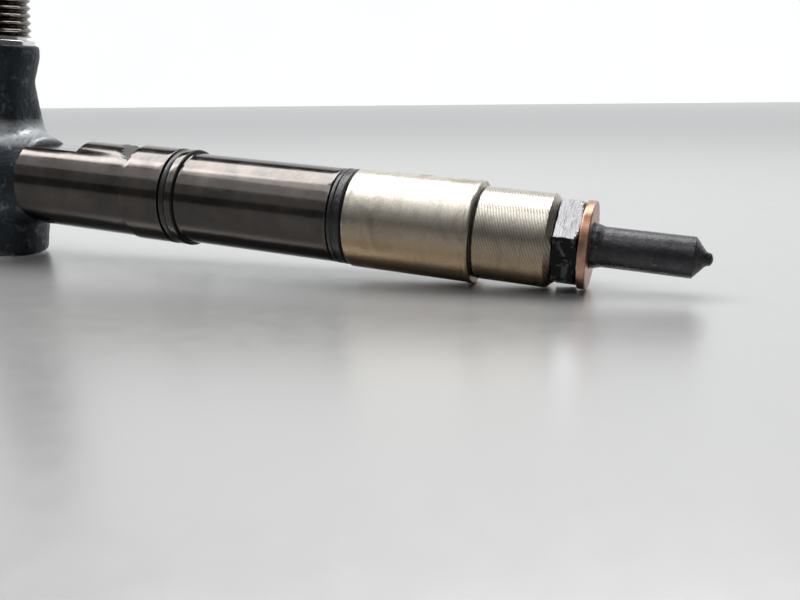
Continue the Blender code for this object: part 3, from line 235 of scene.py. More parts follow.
class Surface:
    """A Principled material, built from a few kinds of node."""

    def __init__(self, name, **values):
        self.material = bpy.data.materials.new(name)
        self.material.use_nodes = True
        self.tree = self.material.node_tree
        self.shader = self.tree.nodes["Principled BSDF"]
        for key, value in values.items():
            self.shader.inputs[key.replace("_", " ")].default_value = value
        self.object = self.tree.nodes.new("ShaderNodeTexCoord").outputs["Object"]
        self.normal = None

    def put(self, socket, value):
        """Links a socket to another, or sets its number."""
        if isinstance(value, bpy.types.NodeSocket):
            self.tree.links.new(value, socket)
        else:
            socket.default_value = value

    def place(self, scale, turn=(0, 0, 0)):
        """Object coordinates, stretched and turned."""
        node = self.tree.nodes.new("ShaderNodeMapping")
        self.put(node.inputs["Vector"], self.object)
        node.inputs["Scale"].default_value = scale
        node.inputs["Rotation"].default_value = turn
        return node.outputs["Vector"]

    def noise(self, scale, detail=3.0, roughness=0.5, at=None, warp=0.0):
        node = self.tree.nodes.new("ShaderNodeTexNoise")
        self.put(node.inputs["Vector"], at or self.object)
        node.inputs["Scale"].default_value = scale
        node.inputs["Detail"].default_value = detail
        node.inputs["Roughness"].default_value = roughness
        node.inputs["Distortion"].default_value = warp
        return node.outputs["Fac"]

    def cells(self, scale):
        node = self.tree.nodes.new("ShaderNodeTexVoronoi")
        self.put(node.inputs["Vector"], self.object)
        node.inputs["Scale"].default_value = scale
        return node.outputs["Distance"]

    def maths(self, kind, a, b=0.0, clamp=False):
        node = self.tree.nodes.new("ShaderNodeMath")
        node.operation = kind
        node.use_clamp = clamp
        self.put(node.inputs[0], a)
        self.put(node.inputs[1], b)
        return node.outputs[0]

    def span(self, value, low, high, to_low=0.0, to_high=1.0):
        """The value, mapped from low..high to to_low..to_high and held inside it."""
        node = self.tree.nodes.new("ShaderNodeMapRange")
        self.put(node.inputs["Value"], value)
        keys = ("From Min", "From Max", "To Min", "To Max")
        for key, number in zip(keys, (low, high, to_low, to_high)):
            node.inputs[key].default_value = number
        return node.outputs["Result"]

    def blend(self, share, a, b):
        """Colour a where share is 0, colour b where it is 1."""
        node = self.tree.nodes.new("ShaderNodeMix")
        node.data_type = "RGBA"
        self.put(node.inputs[0], share)
        for socket, value in ((node.inputs[6], a), (node.inputs[7], b)):
            self.put(socket, value if isinstance(value, bpy.types.NodeSocket) else (*value, 1.0))
        return node.outputs[2]

    def axis(self, name):
        node = self.tree.nodes.new("ShaderNodeSeparateXYZ")
        self.put(node.inputs[0], self.object)
        return node.outputs[name]

    def turns(self):
        """The angle round the X axis, in radians."""
        return self.maths("ARCTAN2", self.axis("Z"), self.axis("Y"))

    def bump(self, height, depth, strength=1.0):
        """Adds relief, up to depth millimetres, over any that is there."""
        node = self.tree.nodes.new("ShaderNodeBump")
        node.inputs["Distance"].default_value = depth * MM
        node.inputs["Strength"].default_value = strength
        self.put(node.inputs["Height"], height)
        if self.normal:
            self.put(node.inputs["Normal"], self.normal)
        self.normal = node.outputs["Normal"]

    def edges(self, low, high):
        """Near 1 on convex edges."""
        node = self.tree.nodes.new("ShaderNodeNewGeometry")
        return self.span(node.outputs["Pointiness"], low, high)

    def done(self, colour, roughness=None):
        for name, value in (("Base Color", colour), ("Roughness", roughness)):
            if value is not None:
                self.put(self.shader.inputs[name], value)
        if self.normal:
            self.put(self.shader.inputs["Normal"], self.normal)
        return self.material


def black_oxide():
    """Turned, blackened and oiled steel: glossy, with fine rings, handling marks, worn edges and painted
    shade on the underside.
    """
    s = Surface("black_oxide", Metallic=1.0, Specular_IOR_Level=0.5)
    rings = s.noise(9000, 2.0, 0.6, s.place((1, 0.015, 0.015)))
    cloud = s.noise(160, 4.0, 0.6)
    smear = s.noise(900, 5.0, 0.7, s.place((0.35, 1, 1)), 0.8)
    speck = s.span(s.cells(2600), 0.06, 0.14, 1.0, 0.0)
    colour = s.blend(s.span(cloud, 0.35, 0.7), (0.105, 0.096, 0.090), (0.165, 0.148, 0.136))
    colour = s.blend(s.span(smear, 0.60, 0.76, 0.0, 0.35), colour, (0.24, 0.21, 0.19))
    colour = s.blend(s.maths("MULTIPLY", speck, 0.5), colour, (0.03, 0.028, 0.027))
    # Painted shade, not oil: the colour darkens from Z = 1 mm down to Z = -4 mm.
    oily = s.span(s.axis("Z"), 1.0 * MM, -4.0 * MM, 0.0, 0.75)
    colour = s.blend(oily, colour, (0.040, 0.036, 0.034))
    colour = s.blend(s.maths("MULTIPLY", s.edges(0.51, 0.58), 0.45, True), colour, (0.32, 0.30, 0.28))
    rough = s.maths("ADD", s.span(cloud, 0.3, 0.7, 0.10, 0.17), s.span(smear, 0.5, 0.8, 0.0, 0.12))
    s.bump(rings, 0.0022)
    s.bump(smear, 0.004, 0.5)
    return s.done(colour, s.maths("ADD", rough, s.span(rings, 0.3, 0.7, -0.02, 0.03)))


def dark_ring():
    """The band's grooves and front edge: matt black where the oxide and oil are thick."""
    s = Surface("dark_ring", Metallic=0.9)
    grain = s.noise(2200, 3.0, 0.6)
    colour = s.blend(grain, (0.010, 0.010, 0.011), (0.035, 0.033, 0.032))
    s.bump(grain, 0.01)
    return s.done(colour, s.span(grain, 0.3, 0.7, 0.32, 0.5))


def forging():
    """Dark blue-grey forged skin with scale, pits, rubbed high spots and a painted highlight on the arm's
    shoulder.
    """
    s = Surface("forging", Metallic=0.9)
    coarse = s.noise(520, 5.0, 0.62)
    fine = s.noise(2600, 3.0, 0.7)
    pits = s.span(s.cells(900), 0.05, 0.22, 1.0, 0.0)
    rub = s.span(coarse, 0.54, 0.72)
    colour = s.blend(rub, (0.030, 0.036, 0.042), (0.12, 0.13, 0.14))
    colour = s.blend(s.maths("MULTIPLY", s.edges(0.52, 0.6), 0.5, True), colour, (0.22, 0.225, 0.225))
    # Painted highlight: the shoulder where the arm leaves the barrel, between Z = 7 and 12.6 mm, is painted
    # bright
    above = s.span(s.axis("Z"), 7.0 * MM, 9.5 * MM)
    below = s.span(s.axis("Z"), 12.6 * MM, 10.8 * MM)
    painted_shoulder_highlight = s.maths("MULTIPLY", above, below)
    colour = s.blend(s.maths("MULTIPLY", painted_shoulder_highlight, 0.85), colour, (0.50, 0.515, 0.53))
    colour = s.blend(s.maths("MULTIPLY", pits, 0.7), colour, (0.012, 0.013, 0.015))
    rough = s.span(coarse, 0.3, 0.75, 0.50, 0.32)
    s.bump(coarse, 0.30)
    s.bump(fine, 0.07)
    s.bump(s.maths("MULTIPLY", pits, -1.0), 0.05)
    return s.done(colour, rough)


TOOL_PITCH = 0.5


def turned_steel(name, light, dark, painted_underside_reflection, lines, slant=0.0):
    """Satin turned steel with tool rings, speckle, a painted warm reflection on the underside and dark
    smudges.

    lines is the scale of the fine rings. slant is how far the coarse tool lines lean round X.
    """
    s = Surface(name, Metallic=1.0)
    rings = s.noise(lines, 2.0, 0.7, s.place((1, 0.02, 0.02)))
    along = s.maths("MULTIPLY", s.axis("X"), 2 * math.pi / (TOOL_PITCH * MM))
    thread = s.maths("SINE", s.maths("ADD", along, s.maths("MULTIPLY", s.turns(), slant)))
    speck = s.noise(5200, 3.0, 0.75)
    smudge = s.noise(240, 4.0, 0.6, s.place((1, 0.6, 0.6)), 0.8)
    # Painted warm reflection: from Z = 3.5 mm down to Z = -3 mm the colour turns warm and darker.
    low = s.span(s.axis("Z"), 3.5 * MM, -3.0 * MM)
    colour = s.blend(low, light, painted_underside_reflection)
    colour = s.blend(s.span(smudge, 0.50, 0.75, 0.0, 0.65), colour, dark)
    colour = s.blend(s.span(speck, 0.54, 0.72, 0.0, 0.8), colour, dark)
    colour = s.blend(s.span(rings, 0.56, 0.74, 0.0, 0.35), colour, dark)
    colour = s.blend(s.span(thread, 0.0, 1.0, 0.0, 0.5 if slant else 0.05), colour, dark)
    colour = s.blend(s.maths("MULTIPLY", s.edges(0.51, 0.57), 0.6, True), colour, (0.85, 0.82, 0.76))
    rough = s.maths("ADD", s.span(speck, 0.35, 0.7, 0.24, 0.36), s.span(smudge, 0.4, 0.8, 0.0, 0.08))
    s.bump(rings, 0.016)
    s.bump(thread, 0.0075 if slant else 0.0016)
    s.bump(speck, 0.014)
    return s.done(colour, rough)


def hex_metal():
    """The hexagon's flats: smeared bright metal with soot, scratches and painted shade on the lower flats.
    """
    s = Surface("hex_metal", Metallic=1.0)
    patch = s.noise(620, 5.0, 0.72, s.place((1, 1, 0.6), (0, 0, 0.6)), 0.5)
    scratch = s.noise(2500, 2.0, 0.6, s.place((1, 0.12, 0.12), (0.5, 0.2, 0.9)))
    # Painted shade: everything below Z = 2 mm is darkened; the noise patches add soot.
    low = s.span(s.axis("Z"), 2.3 * MM, 2.0 * MM, 0.0, 1.4)
    soot_and_painted_shade = s.maths("ADD", low, s.span(patch, 0.44, 0.62, -0.5, 0.55), True)
    colour = s.blend(s.span(scratch, 0.50, 0.68, 0.0, 0.6), (0.62, 0.62, 0.64), (0.20, 0.20, 0.205))
    colour = s.blend(soot_and_painted_shade, colour, (0.016, 0.015, 0.015))
    s.bump(patch, 0.025)
    s.bump(scratch, 0.010)
    return s.done(colour, s.maths("ADD", s.maths("MULTIPLY", soot_and_painted_shade, 0.16), 0.26))


def copper():
    """Dull annealed copper, brighter along its edges."""
    s = Surface("washer_copper", Metallic=1.0)
    cloud = s.noise(420, 4.0, 0.65)
    grain = s.noise(3800, 2.0, 0.6)
    colour = s.blend(s.span(cloud, 0.35, 0.7), (0.33, 0.165, 0.115), (0.58, 0.35, 0.265))
    colour = s.blend(s.span(grain, 0.62, 0.78, 0.0, 0.7), colour, (0.12, 0.055, 0.04))
    colour = s.blend(s.maths("MULTIPLY", s.edges(0.51, 0.56), 0.6, True), colour, (0.95, 0.72, 0.60))
    s.bump(cloud, 0.02)
    s.bump(grain, 0.008)
    return s.done(colour, s.span(cloud, 0.3, 0.7, 0.26, 0.42))


def sooty_steel():
    """Charcoal-coloured stem with a fine burnt crust."""
    s = Surface("sooty_steel", Metallic=0.8)
    crust = s.noise(1900, 4.0, 0.7)
    cloud = s.noise(300, 3.0, 0.6)
    rub = s.span(s.noise(900, 4.0, 0.7, s.place((0.4, 1, 1))), 0.60, 0.72)
    colour = s.blend(cloud, (0.020, 0.020, 0.023), (0.085, 0.084, 0.090))
    colour = s.blend(s.maths("MULTIPLY", rub, 0.6), colour, (0.20, 0.20, 0.21))
    s.bump(crust, 0.075)
    s.bump(cloud, 0.03)
    return s.done(colour, s.span(crust, 0.3, 0.7, 0.20, 0.36))


def oily_rubber():
    """Black rubber under a film of oil, with dust in it."""
    s = Surface("oily_rubber", Specular_IOR_Level=0.5, Coat_Weight=0.25, Coat_Roughness=0.15)
    grain = s.noise(1500, 4.0, 0.7)
    dust = s.span(s.noise(3400, 2.0, 0.6), 0.66, 0.74)
    colour = s.blend(dust, (0.008, 0.008, 0.009), (0.12, 0.125, 0.13))
    s.bump(grain, 0.05)
    return s.done(colour, s.span(grain, 0.3, 0.7, 0.22, 0.5))


def plated(name, light, dark, rough=0.3):
    """Plated steel: cloudy, with fine scratches and brighter edges."""
    s = Surface(name, Metallic=1.0)
    cloud = s.noise(220, 4.0, 0.6)
    scratch = s.noise(2600, 2.0, 0.6, s.place((0.08, 1, 1), (0.3, 0, 0.2)))
    grain = s.noise(4200, 2.0, 0.5)
    colour = s.blend(s.span(cloud, 0.35, 0.7), dark, light)
    colour = s.blend(s.span(scratch, 0.62, 0.75, 0.0, 0.5), colour, dark)
    colour = s.blend(s.maths("MULTIPLY", s.edges(0.51, 0.57), 0.5, True), colour, (0.9, 0.89, 0.86))
    s.bump(grain, 0.004)
    s.bump(scratch, 0.003)
    return s.done(colour, s.span(cloud, 0.3, 0.7, rough, rough + 0.14))


def ground_steel():
    """Finely ground hardened steel."""
    s = Surface("ground_steel", Metallic=1.0)
    rings = s.noise(12000, 2.0, 0.6, s.place((1, 0.02, 0.02)))
    cloud = s.noise(300, 3.0, 0.6)
    colour = s.blend(s.span(cloud, 0.4, 0.75, 0.0, 0.5), (0.70, 0.70, 0.69), (0.45, 0.45, 0.45))
    s.bump(rings, 0.001)
    return s.done(colour, s.span(rings, 0.3, 0.7, 0.14, 0.24))


def moulded(name, light, dark, rough):
    """Moulded plastic with a fine eroded grain and rubbed corners."""
    s = Surface(name, Specular_IOR_Level=0.45)
    grain = s.noise(3000, 3.0, 0.6)
    cloud = s.noise(150, 4.0, 0.6)
    scuff = s.span(s.noise(1200, 2.0, 0.6, s.place((0.1, 1, 1), (0, 0.4, 0.3))), 0.66, 0.74)
    colour = s.blend(cloud, dark, light)
    rubbed = tuple(min(1.0, c * 4 + 0.03) for c in light)
    colour = s.blend(s.maths("MULTIPLY", scuff, 0.25), colour, rubbed)
    s.bump(grain, 0.02, 0.6)
    return s.done(colour, s.span(grain, 0.3, 0.7, rough, rough + 0.15))


WIRE_PITCH = 0.4


def wound_wire():
    """Enamelled copper wire, wound round the bobbin, with painted shade between the turns."""
    s = Surface("wound_wire", Metallic=0.9)
    turn = s.maths("SINE", s.maths("MULTIPLY", s.axis("X"), 2 * math.pi / (WIRE_PITCH * MM)))
    # Painted shade: the colour darkens where the bump sinks between the turns.
    colour = s.blend(s.span(turn, -1.0, 1.0), (0.22, 0.06, 0.02), (0.75, 0.30, 0.12))
    s.bump(turn, 0.12)
    return s.done(colour, 0.28)


def pale_floor():
    """A plain pale work surface with a satin sheen."""
    s = Surface("pale_floor", Metallic=0.6)
    cloud = s.noise(5, 3.0, 0.5)
    fine = s.noise(300, 2.0, 0.5)
    colour = s.blend(cloud, (0.52, 0.52, 0.515), (0.56, 0.56, 0.555))
    return s.done(colour, s.span(fine, 0.3, 0.7, 0.28, 0.31))


def backdrop_card():
    """A lit white card."""
    s = Surface("backdrop", Roughness=1.0)
    cloud = s.noise(2, 2.0, 0.5)
    s.put(s.shader.inputs["Emission Color"], s.blend(cloud, (0.90, 0.91, 0.92), (0.96, 0.97, 0.98)))
    s.shader.inputs["Emission Strength"].default_value = 1.0
    return s.done((0.5, 0.5, 0.5, 1.0))


OXIDE = black_oxide()
DARK = dark_ring()
FORGED = forging()
NUT_STEEL = turned_steel(
    "nut_steel",
    light=(0.66, 0.625, 0.55),
    dark=(0.17, 0.14, 0.10),
    painted_underside_reflection=(0.36, 0.265, 0.165),
    lines=5200,
)
NUT_SMALL = turned_steel(
    "nut_steel_small",
    light=(0.60, 0.57, 0.50),
    dark=(0.15, 0.12, 0.09),
    painted_underside_reflection=(0.34, 0.26, 0.17),
    lines=3600,
    slant=-38.0,
)
HEX_METAL = hex_metal()
COPPER = copper()
SOOTY = sooty_steel()
RUBBER = oily_rubber()
ZINC = plated("zinc_plate", (0.72, 0.71, 0.66), (0.48, 0.47, 0.43))
TIN = plated("tin_plate", (0.80, 0.78, 0.72), (0.55, 0.52, 0.46), 0.18)
IRON = plated("core_iron", (0.42, 0.40, 0.38), (0.24, 0.23, 0.22), 0.4)
SPRING = plated("spring_wire", (0.40, 0.40, 0.42), (0.24, 0.24, 0.25), 0.24)
GROUND = ground_steel()
PLASTIC = moulded("black_plastic", (0.020, 0.020, 0.021), (0.013, 0.013, 0.014), 0.42)
NYLON = moulded("bobbin_plastic", (0.60, 0.56, 0.44), (0.50, 0.46, 0.36), 0.5)
WIRE = wound_wire()


# ---------------------------------------------------------------- the turned body


def below_flats(x, angle, radius):
    """The upper body's radius, less its top flat and the notch beside the band."""
    level = None
    if FLAT_BACK_X < x < FLAT_FRONT_X:
        level = FLAT_LEVEL
    elif NOTCH_BACK_X < x < NOTCH_FRONT_X:
        share = min(1.0, (x - NOTCH_BACK_X) / NOTCH_SLOPE)
        level = UPPER_R + 0.1 - NOTCH_DEPTH * share
    height = radius * math.sin(angle)
    if level is not None and height > level:
        return level / math.sin(angle)
    return radius


def body_turning():
    """The body before its forged head: nose, lower body, grooved band and upper body."""
    groove_r = BAND_R - 1.2
    outline = rounded([
        (NOSE_X, 0.01),
        (NOSE_X, NOSE_R - 0.9),
        (NOSE_X - 0.9, NOSE_R, 0.2),
        (LOWER_FRONT_X, NOSE_R),
        (LOWER_FRONT_X, LOWER_R, 0.28),
        (BAND_FRONT_X + 0.35, LOWER_R, 0.1),
        (BAND_FRONT_X, LOWER_R + 0.1, 0.08),
        (BAND_FRONT_X, BAND_R, 0.42),
        (GROOVE_FRONT_X, BAND_R, 0.1),
        (GROOVE_FRONT_X, groove_r),
        (GROOVE_BACK_X, groove_r),
        (GROOVE_BACK_X, BAND_R, 0.12),
        (BAND_BACK_X, BAND_R, 0.2),
        (BAND_BACK_X, UPPER_R, 0.05),
        (NOTCH_BACK_X, UPPER_R),
        (FLAT_FRONT_X + 0.02, UPPER_R),
        (FLAT_FRONT_X - 0.06, UPPER_R),
        (HEAD_FRONT_X - 0.35, UPPER_R),
        (HEAD_FRONT_X - 3.0, UPPER_R - 0.1),
        (HEAD_FRONT_X - 3.0, 0.01),
    ])
    outline = divided(outline, 0.8)
    bm = turned_bmesh(outline, 192, below_flats)
    piece = finish_mesh("body_turning", bm, OXIDE, 24)
    piece.data.materials.append(DARK)
    for face in piece.data.polygons:
        x = face.center.x / MM
        radius = math.hypot(face.center.y, face.center.z) / MM
        groove = GROOVE_BACK_X - 0.05 < x < GROOVE_FRONT_X + 0.05 and radius < BAND_R - 0.1
        front = BAND_FRONT_X - 0.45 < x < BAND_FRONT_X + 0.1 and radius > LOWER_R + 0.02
        face.material_index = 1 if groove or front else 0
        cut_end = abs(face.normal.x) > 0.2 and HEAD_FRONT_X < x < BAND_BACK_X - 0.05
        if face.normal.z > 0.999 or cut_end:
            face.use_smooth = False
    stand_for(piece, "black_forging", "injector_body")


# ---------------------------------------------------------------- the forged head


# Height, half widths along X and Y, and squareness: 2 is an ellipse, more is boxier
ARM_SECTIONS = (
    (-2.0, 8.5, 7.1, 3.2),
    (9.2, 8.6, 7.2, 3.2),
    (11.5, 8.1, 6.9, 3.1),
    (14.6, 7.5, 6.6, 3.0),
    (20.0, 6.9, 6.6, 2.4),
    (24.4, 8.2, 8.2, 2.0),
    (25.4, 8.35, 8.35, 2.0),
    (27.5, 8.35, 8.35, 2.0),
)
ARM_SIDES = 64


def arm_bmesh():
    """The inlet arm's forging: boxy at its root, narrower above, round at its top."""
    bm = bmesh.new()
    rows = []
    for z, half_x, half_y, square in ARM_SECTIONS:
        row = []
        for index in range(ARM_SIDES):
            angle = 2 * math.pi * (index + 0.5) / ARM_SIDES
            reach = (abs(math.cos(angle)) ** square + abs(math.sin(angle)) ** square) ** (-1 / square)
            x = STUB_X + half_x * reach * math.cos(angle)
            row.append(bm.verts.new((x * MM, half_y * reach * math.sin(angle) * MM, z * MM)))
        rows.append(row)
    bm.faces.new(reversed(rows[0]))
    bm.faces.new(rows[-1])
    for lower, upper in zip(rows, rows[1:]):
        for index in range(ARM_SIDES):
            after = (index + 1) % ARM_SIDES
            bm.faces.new((lower[index], lower[after], upper[after], upper[index]))
    return bm


def barrel_bmesh():
    """The head's round barrel, flaring from the upper body's radius to its own."""
    lap_x = HEAD_FRONT_X + 0.6
    flare_length = 6.5
    flare_steps = 12
    back_x = -136.0
    outline = [(lap_x, 0.0), (lap_x, UPPER_R - 0.5), (HEAD_FRONT_X, UPPER_R - 0.1)]
    for step in range(1, flare_steps + 1):
        share = step / flare_steps
        rise = (1 - math.cos(math.pi * share)) / 2
        outline.append((HEAD_FRONT_X - flare_length * share, UPPER_R + (BARREL_R - UPPER_R) * rise))
    outline += [(back_x, BARREL_R), (back_x, 0.0)]
    return turned_bmesh(outline, 96)


def stub_bmesh():
    """The leak-off stub, hanging from the barrel."""
    end = STUB_Z + 0.25
    outline = rounded([(2.0, 0.0), (2.0, STUB_R), (-11.0, STUB_R), (end, STUB_R - 0.3, 0.7), (end, 0.0)])
    return turned_bmesh(outline, 96, upright=STUB_X)


def roughen(mesh, lumps, grain):
    """Moves each point along its normal by up to about lumps and grain, for a forging's skin."""
    count = len(mesh.vertices)
    points = np.zeros(count * 3)
    normals = np.zeros(count * 3)
    mesh.vertices.foreach_get("co", points)
    mesh.vertices.foreach_get("normal", normals)
    points = points.reshape(-1, 3)
    normals = normals.reshape(-1, 3)
    for index in range(count):
        at = Vector(points[index]) / MM
        height = lumps * noise.fractal(at * 0.16, 1.0, 2.0, 2) + grain * noise.noise(at * 1.15)
        points[index] += normals[index] * height * MM
    mesh.vertices.foreach_set("co", points.reshape(-1))
    mesh.update()


def forged_head():
    """Barrel, arm and stub as one skin, with filleted joins and a forged surface."""
    bm = bmesh.new()
    for part in (barrel_bmesh(), arm_bmesh(), stub_bmesh()):
        join_into(bm, part)
    bmesh.ops.recalc_face_normals(bm, faces=bm.faces)
    joined = bpy.data.objects.new("head_blank", mesh_of(bm))
    bpy.context.scene.collection.objects.link(joined)
    remesh = joined.modifiers.new("remesh", "REMESH")
    remesh.mode = "VOXEL"
    remesh.voxel_size = 0.36 * MM
    smooth = joined.modifiers.new("fillets", "SMOOTH")
    smooth.iterations = 14
    smooth.factor = 0.5
    graph = bpy.context.evaluated_depsgraph_get()
    mesh = bpy.data.meshes.new_from_object(joined.evaluated_get(graph))
    bpy.data.objects.remove(joined)
    mesh.name = "head_forging"
    roughen(mesh, 0.10, 0.045)
    piece = add_piece("head_forging", mesh, FORGED, 60)


def inlet_neck():
    """The ground shoulder under the inlet's thread."""
    top = NECK_Z + 1.4
    outline = rounded([(NECK_Z, 0.01), (NECK_Z, 7.6), (top, 7.6, 0.3), (top, 6.1), (top + 1.0, 6.1)])
    piece = finish_mesh("inlet_neck", turned_bmesh(outline, 96, upright=STUB_X), GROUND)


def inlet_thread():
    """The inlet's helical thread, chamfered top and sealing cone."""
    step_z = THREAD_PITCH / 12

    def threaded(z, angle, radius):
        if z > INLET_TOP_Z - 0.3 or radius < INLET_THREAD_R - 0.5:
            return radius
        share = (z / THREAD_PITCH - angle / (2 * math.pi)) % 1.0
        return radius - THREAD_DEPTH * abs(2 * share - 1) ** 1.2

    outline = [(THREAD_Z, 5.9)]
    outline += [(THREAD_Z + step_z * step, INLET_THREAD_R) for step in range(1, 86)]
    outline += rounded([
        (INLET_TOP_Z - 0.25, 6.9), (INLET_TOP_Z, 6.3, 0.1), (INLET_TOP_Z, 4.05, 0.1),
        (INLET_TOP_Z - 3.1, 2.2), (INLET_TOP_Z - 4.4, 2.2), (INLET_TOP_Z - 4.4, 0.01),
    ])
    bm = turned_bmesh(outline, 96, threaded, upright=STUB_X)
    piece = finish_mesh("inlet_thread", bm, OXIDE, 60)


def leak_off_seat():
    """The ground face under the stub, with its port."""
    outline = rounded([
        (STUB_Z + 1.4, 0.01), (STUB_Z + 1.4, 7.4), (STUB_Z, 7.4, 0.25), (STUB_Z, 1.9, 0.15),
        (STUB_Z + 0.4, 1.6), (STUB_Z + 1.3, 1.6), (STUB_Z + 1.3, 0.01),
    ])
    piece = finish_mesh("leak_off_seat", turned_bmesh(outline, 96, upright=STUB_X), GROUND)


def head_collar():
    """The barrel's rear with its clamp flats, the collar, and the end that takes the solenoid nut."""
    flats_x = -129.4
    flat_y = 9.7
    barrel_r = BARREL_R + 0.02

    def between_flats(x, angle, radius):
        across = abs(radius * math.cos(angle))
        return radius * flat_y / across if across > flat_y and x < flats_x else radius

    outline = rounded([
        (-128.0, 9.0), (-129.0, BARREL_R - 0.05), (flats_x + 0.02, barrel_r), (flats_x - 0.04, barrel_r),
        (-135.0, barrel_r, 0.4), (-136.5, COLLAR_R, 0.5), (BARREL_BACK_X, COLLAR_R, 0.3),
        (BARREL_BACK_X, 11.0), (BARREL_BACK_X - 0.6, 11.0), (BARREL_BACK_X - 1.0, 11.7),
        (THREAD_BACK_X + 0.3, 11.7), (THREAD_BACK_X, 9.2),
    ])
    bm = turned_bmesh(divided(outline, 1.2), 160, between_flats)
    piece = finish_mesh("head_collar", bm, OXIDE, 24)


# ---------------------------------------------------------------- nut, washer, nozzle, rings


def nut_turning():
    """The nut's two turned diameters, with the bead and the undercut between them."""
    bore_r = 4.2
    undercut_r = 8.08
    profile = rounded([
        (NUT_BACK_X, 7.95), (NUT_BACK_X, NUT_R, 0.5), (-22.6, NUT_R), (BEAD_BACK_X, NUT_R, 0.06),
        (-20.9, NUT_R + 0.12, 0.25), (-20.3, NUT_R + 0.14, 0.3), (STEP_X, NUT_R - 0.05, 0.25),
        (STEP_X, undercut_r, 0.1), (SMALL_BACK_X - 0.2, undercut_r), (SMALL_BACK_X, NUT_SMALL_R, 0.1),
        (-7.0, NUT_SMALL_R, 0.3), (NUT_FRONT_X - 0.1, 7.02, 0.25), (NUT_FRONT_X, 6.9),
    ], 5)
    profile = [(NUT_BACK_X, bore_r)] + divided(profile, 0.5) + [(NUT_FRONT_X, bore_r)]
    piece = finish_mesh("nut_turning", turned_bmesh(profile, 192), NUT_STEEL, 28)
    piece.data.materials.append(NUT_SMALL)
    piece.data.materials.append(DARK)
    for face in piece.data.polygons:
        x = face.center.x / MM
        undercut = STEP_X + 0.05 < x < SMALL_BACK_X - 0.25
        if undercut or x > NUT_FRONT_X - 0.35 or x < NUT_BACK_X + 0.05:
            face.material_index = 2
        elif x > SMALL_BACK_X - 0.3:
            face.material_index = 1
    stand_for(piece, "satin_steel", "nozzle_retaining_nut")


def nut_hexagon():
    """The nut's hexagon, with a turned chamfer towards the washer."""
    bore_r = 4.1
    blank_r = 8.2

    def six_sides(x, angle, radius):
        if radius < 5:
            return radius
        return min(hex_radius(angle, HEX_FLATS, math.radians(HEX_CORNER_DEGREES)), radius)

    rows = [(HEX_BACK_X, bore_r), (HEX_BACK_X, blank_r)]
    rows += [(HEX_BACK_X + 0.25 * step, blank_r) for step in range(1, 14)]
    rows += [
        (-2.3, 8.1), (-2.05, 7.72), (-1.8, 7.34), (-1.72, 7.1), (HEX_FRONT_X, 6.9), (HEX_FRONT_X, bore_r),
    ]
    bm = turned_bmesh(rows, 360, six_sides)
    piece = finish_mesh("nut_hexagon", bm, HEX_METAL, 22)


def washer():
    """The copper washer, with a slightly dented rim."""
    front_x = -0.02
    back_x = -1.58

    def dented(x, angle, radius):
        if radius < 6:
            return radius
        return radius + 0.035 * noise.noise(Vector((x, 3 * math.cos(angle), 3 * math.sin(angle)))) - 0.01

    profile = rounded([
        (-0.8, WASHER_BORE_R), (front_x, WASHER_BORE_R, 0.12), (front_x, WASHER_R, 0.26),
        (back_x, WASHER_R, 0.26), (back_x, WASHER_BORE_R, 0.12),
    ], 6)
    profile = divided(profile, 0.5)
    bm = turned_bmesh(profile, 192, dented, closed=True)
    stand_for(finish_mesh("copper_washer", bm, COPPER, 50), "washer_copper", "sealing_washer")


def nozzle():
    """Shank, root fillet, sooty stem, cone and sac."""
    neck_r = 3.85

    def crusted(x, angle, radius):
        if x < 0.2:
            return radius
        at = Vector((x * 0.9, radius * math.cos(angle), radius * math.sin(angle)))
        return radius + (0.030 * noise.noise(at * 0.9) + 0.016 * noise.noise(at * 3.1)) * min(1, radius / 2)

    profile = rounded([
        (-24.6, 0.01), (-24.6, SHANK_R - 0.2), (-24.4, SHANK_R), (-8.3, SHANK_R), (-8.1, SHANK_R - 0.2),
        (-8.1, neck_r), (0.7, neck_r, 0.5), (1.9, STEM_R, 0.9), (16.7, STEM_R, 0.25),
        (18.45, 1.35, 0.35), (18.75, 1.15, 0.2), (19.35, 1.02, 0.4), (19.66, 0.4, 0.3), (19.68, 0.01),
    ], 6)
    profile = divided(profile, 0.22)
    bm = turned_bmesh(profile, 144, crusted)
    stand_for(finish_mesh("nozzle_stem", bm, SOOTY, 45), "sooty_steel", "nozzle_body")


def nut_seal():
    """The oily ring behind the nut, with a shallow groove round it."""
    back_x = RING_BACK_X + 0.02
    front_x = RING_FRONT_X - 0.02
    bore_r = 7.75
    groove_r = 8.72

    def oily(x, angle, radius):
        at = Vector((x, radius * math.cos(angle), radius * math.sin(angle)))
        return radius + 0.02 * noise.noise(at * 1.7)

    profile = rounded([
        (back_x, bore_r), (back_x, 8.9, 0.35), (-45.55, 8.93, 0.15), (-45.35, groove_r, 0.15),
        (-45.05, groove_r, 0.15), (-44.85, 8.94, 0.15), (-44.0, 8.94, 0.3), (front_x, 8.5, 0.2),
        (front_x, bore_r),
    ])
    bm = turned_bmesh(divided(profile, 0.15), 220, oily, closed=True)
    stand_for(finish_mesh("nut_seal", bm, RUBBER, 60), "black_rubber", "nut_o_ring")


def band_seal():
    """The ring in the band's groove, pressed to an oval section."""
    centre = (GROOVE_FRONT_X + GROOVE_BACK_X) / 2
    middle_r = 8.96
    half_width = 0.74
    half_height = 0.52
    steps = 24
    ring = []
    for step in range(steps):
        angle = 2 * math.pi * step / steps
        ring.append((centre + half_width * math.cos(angle), middle_r + half_height * math.sin(angle)))
    bm = turned_bmesh(ring, 192, closed=True)
    stand_for(finish_mesh("band_seal", bm, RUBBER, 60), "black_rubber", "band_o_ring")


# ---------------------------------------------------------------- solenoid and connector


def edge_bevel(piece, width):
    bevel = piece.modifiers.new("edges", "BEVEL")
    bevel.width = width * MM
    bevel.segments = 3
    return bevel


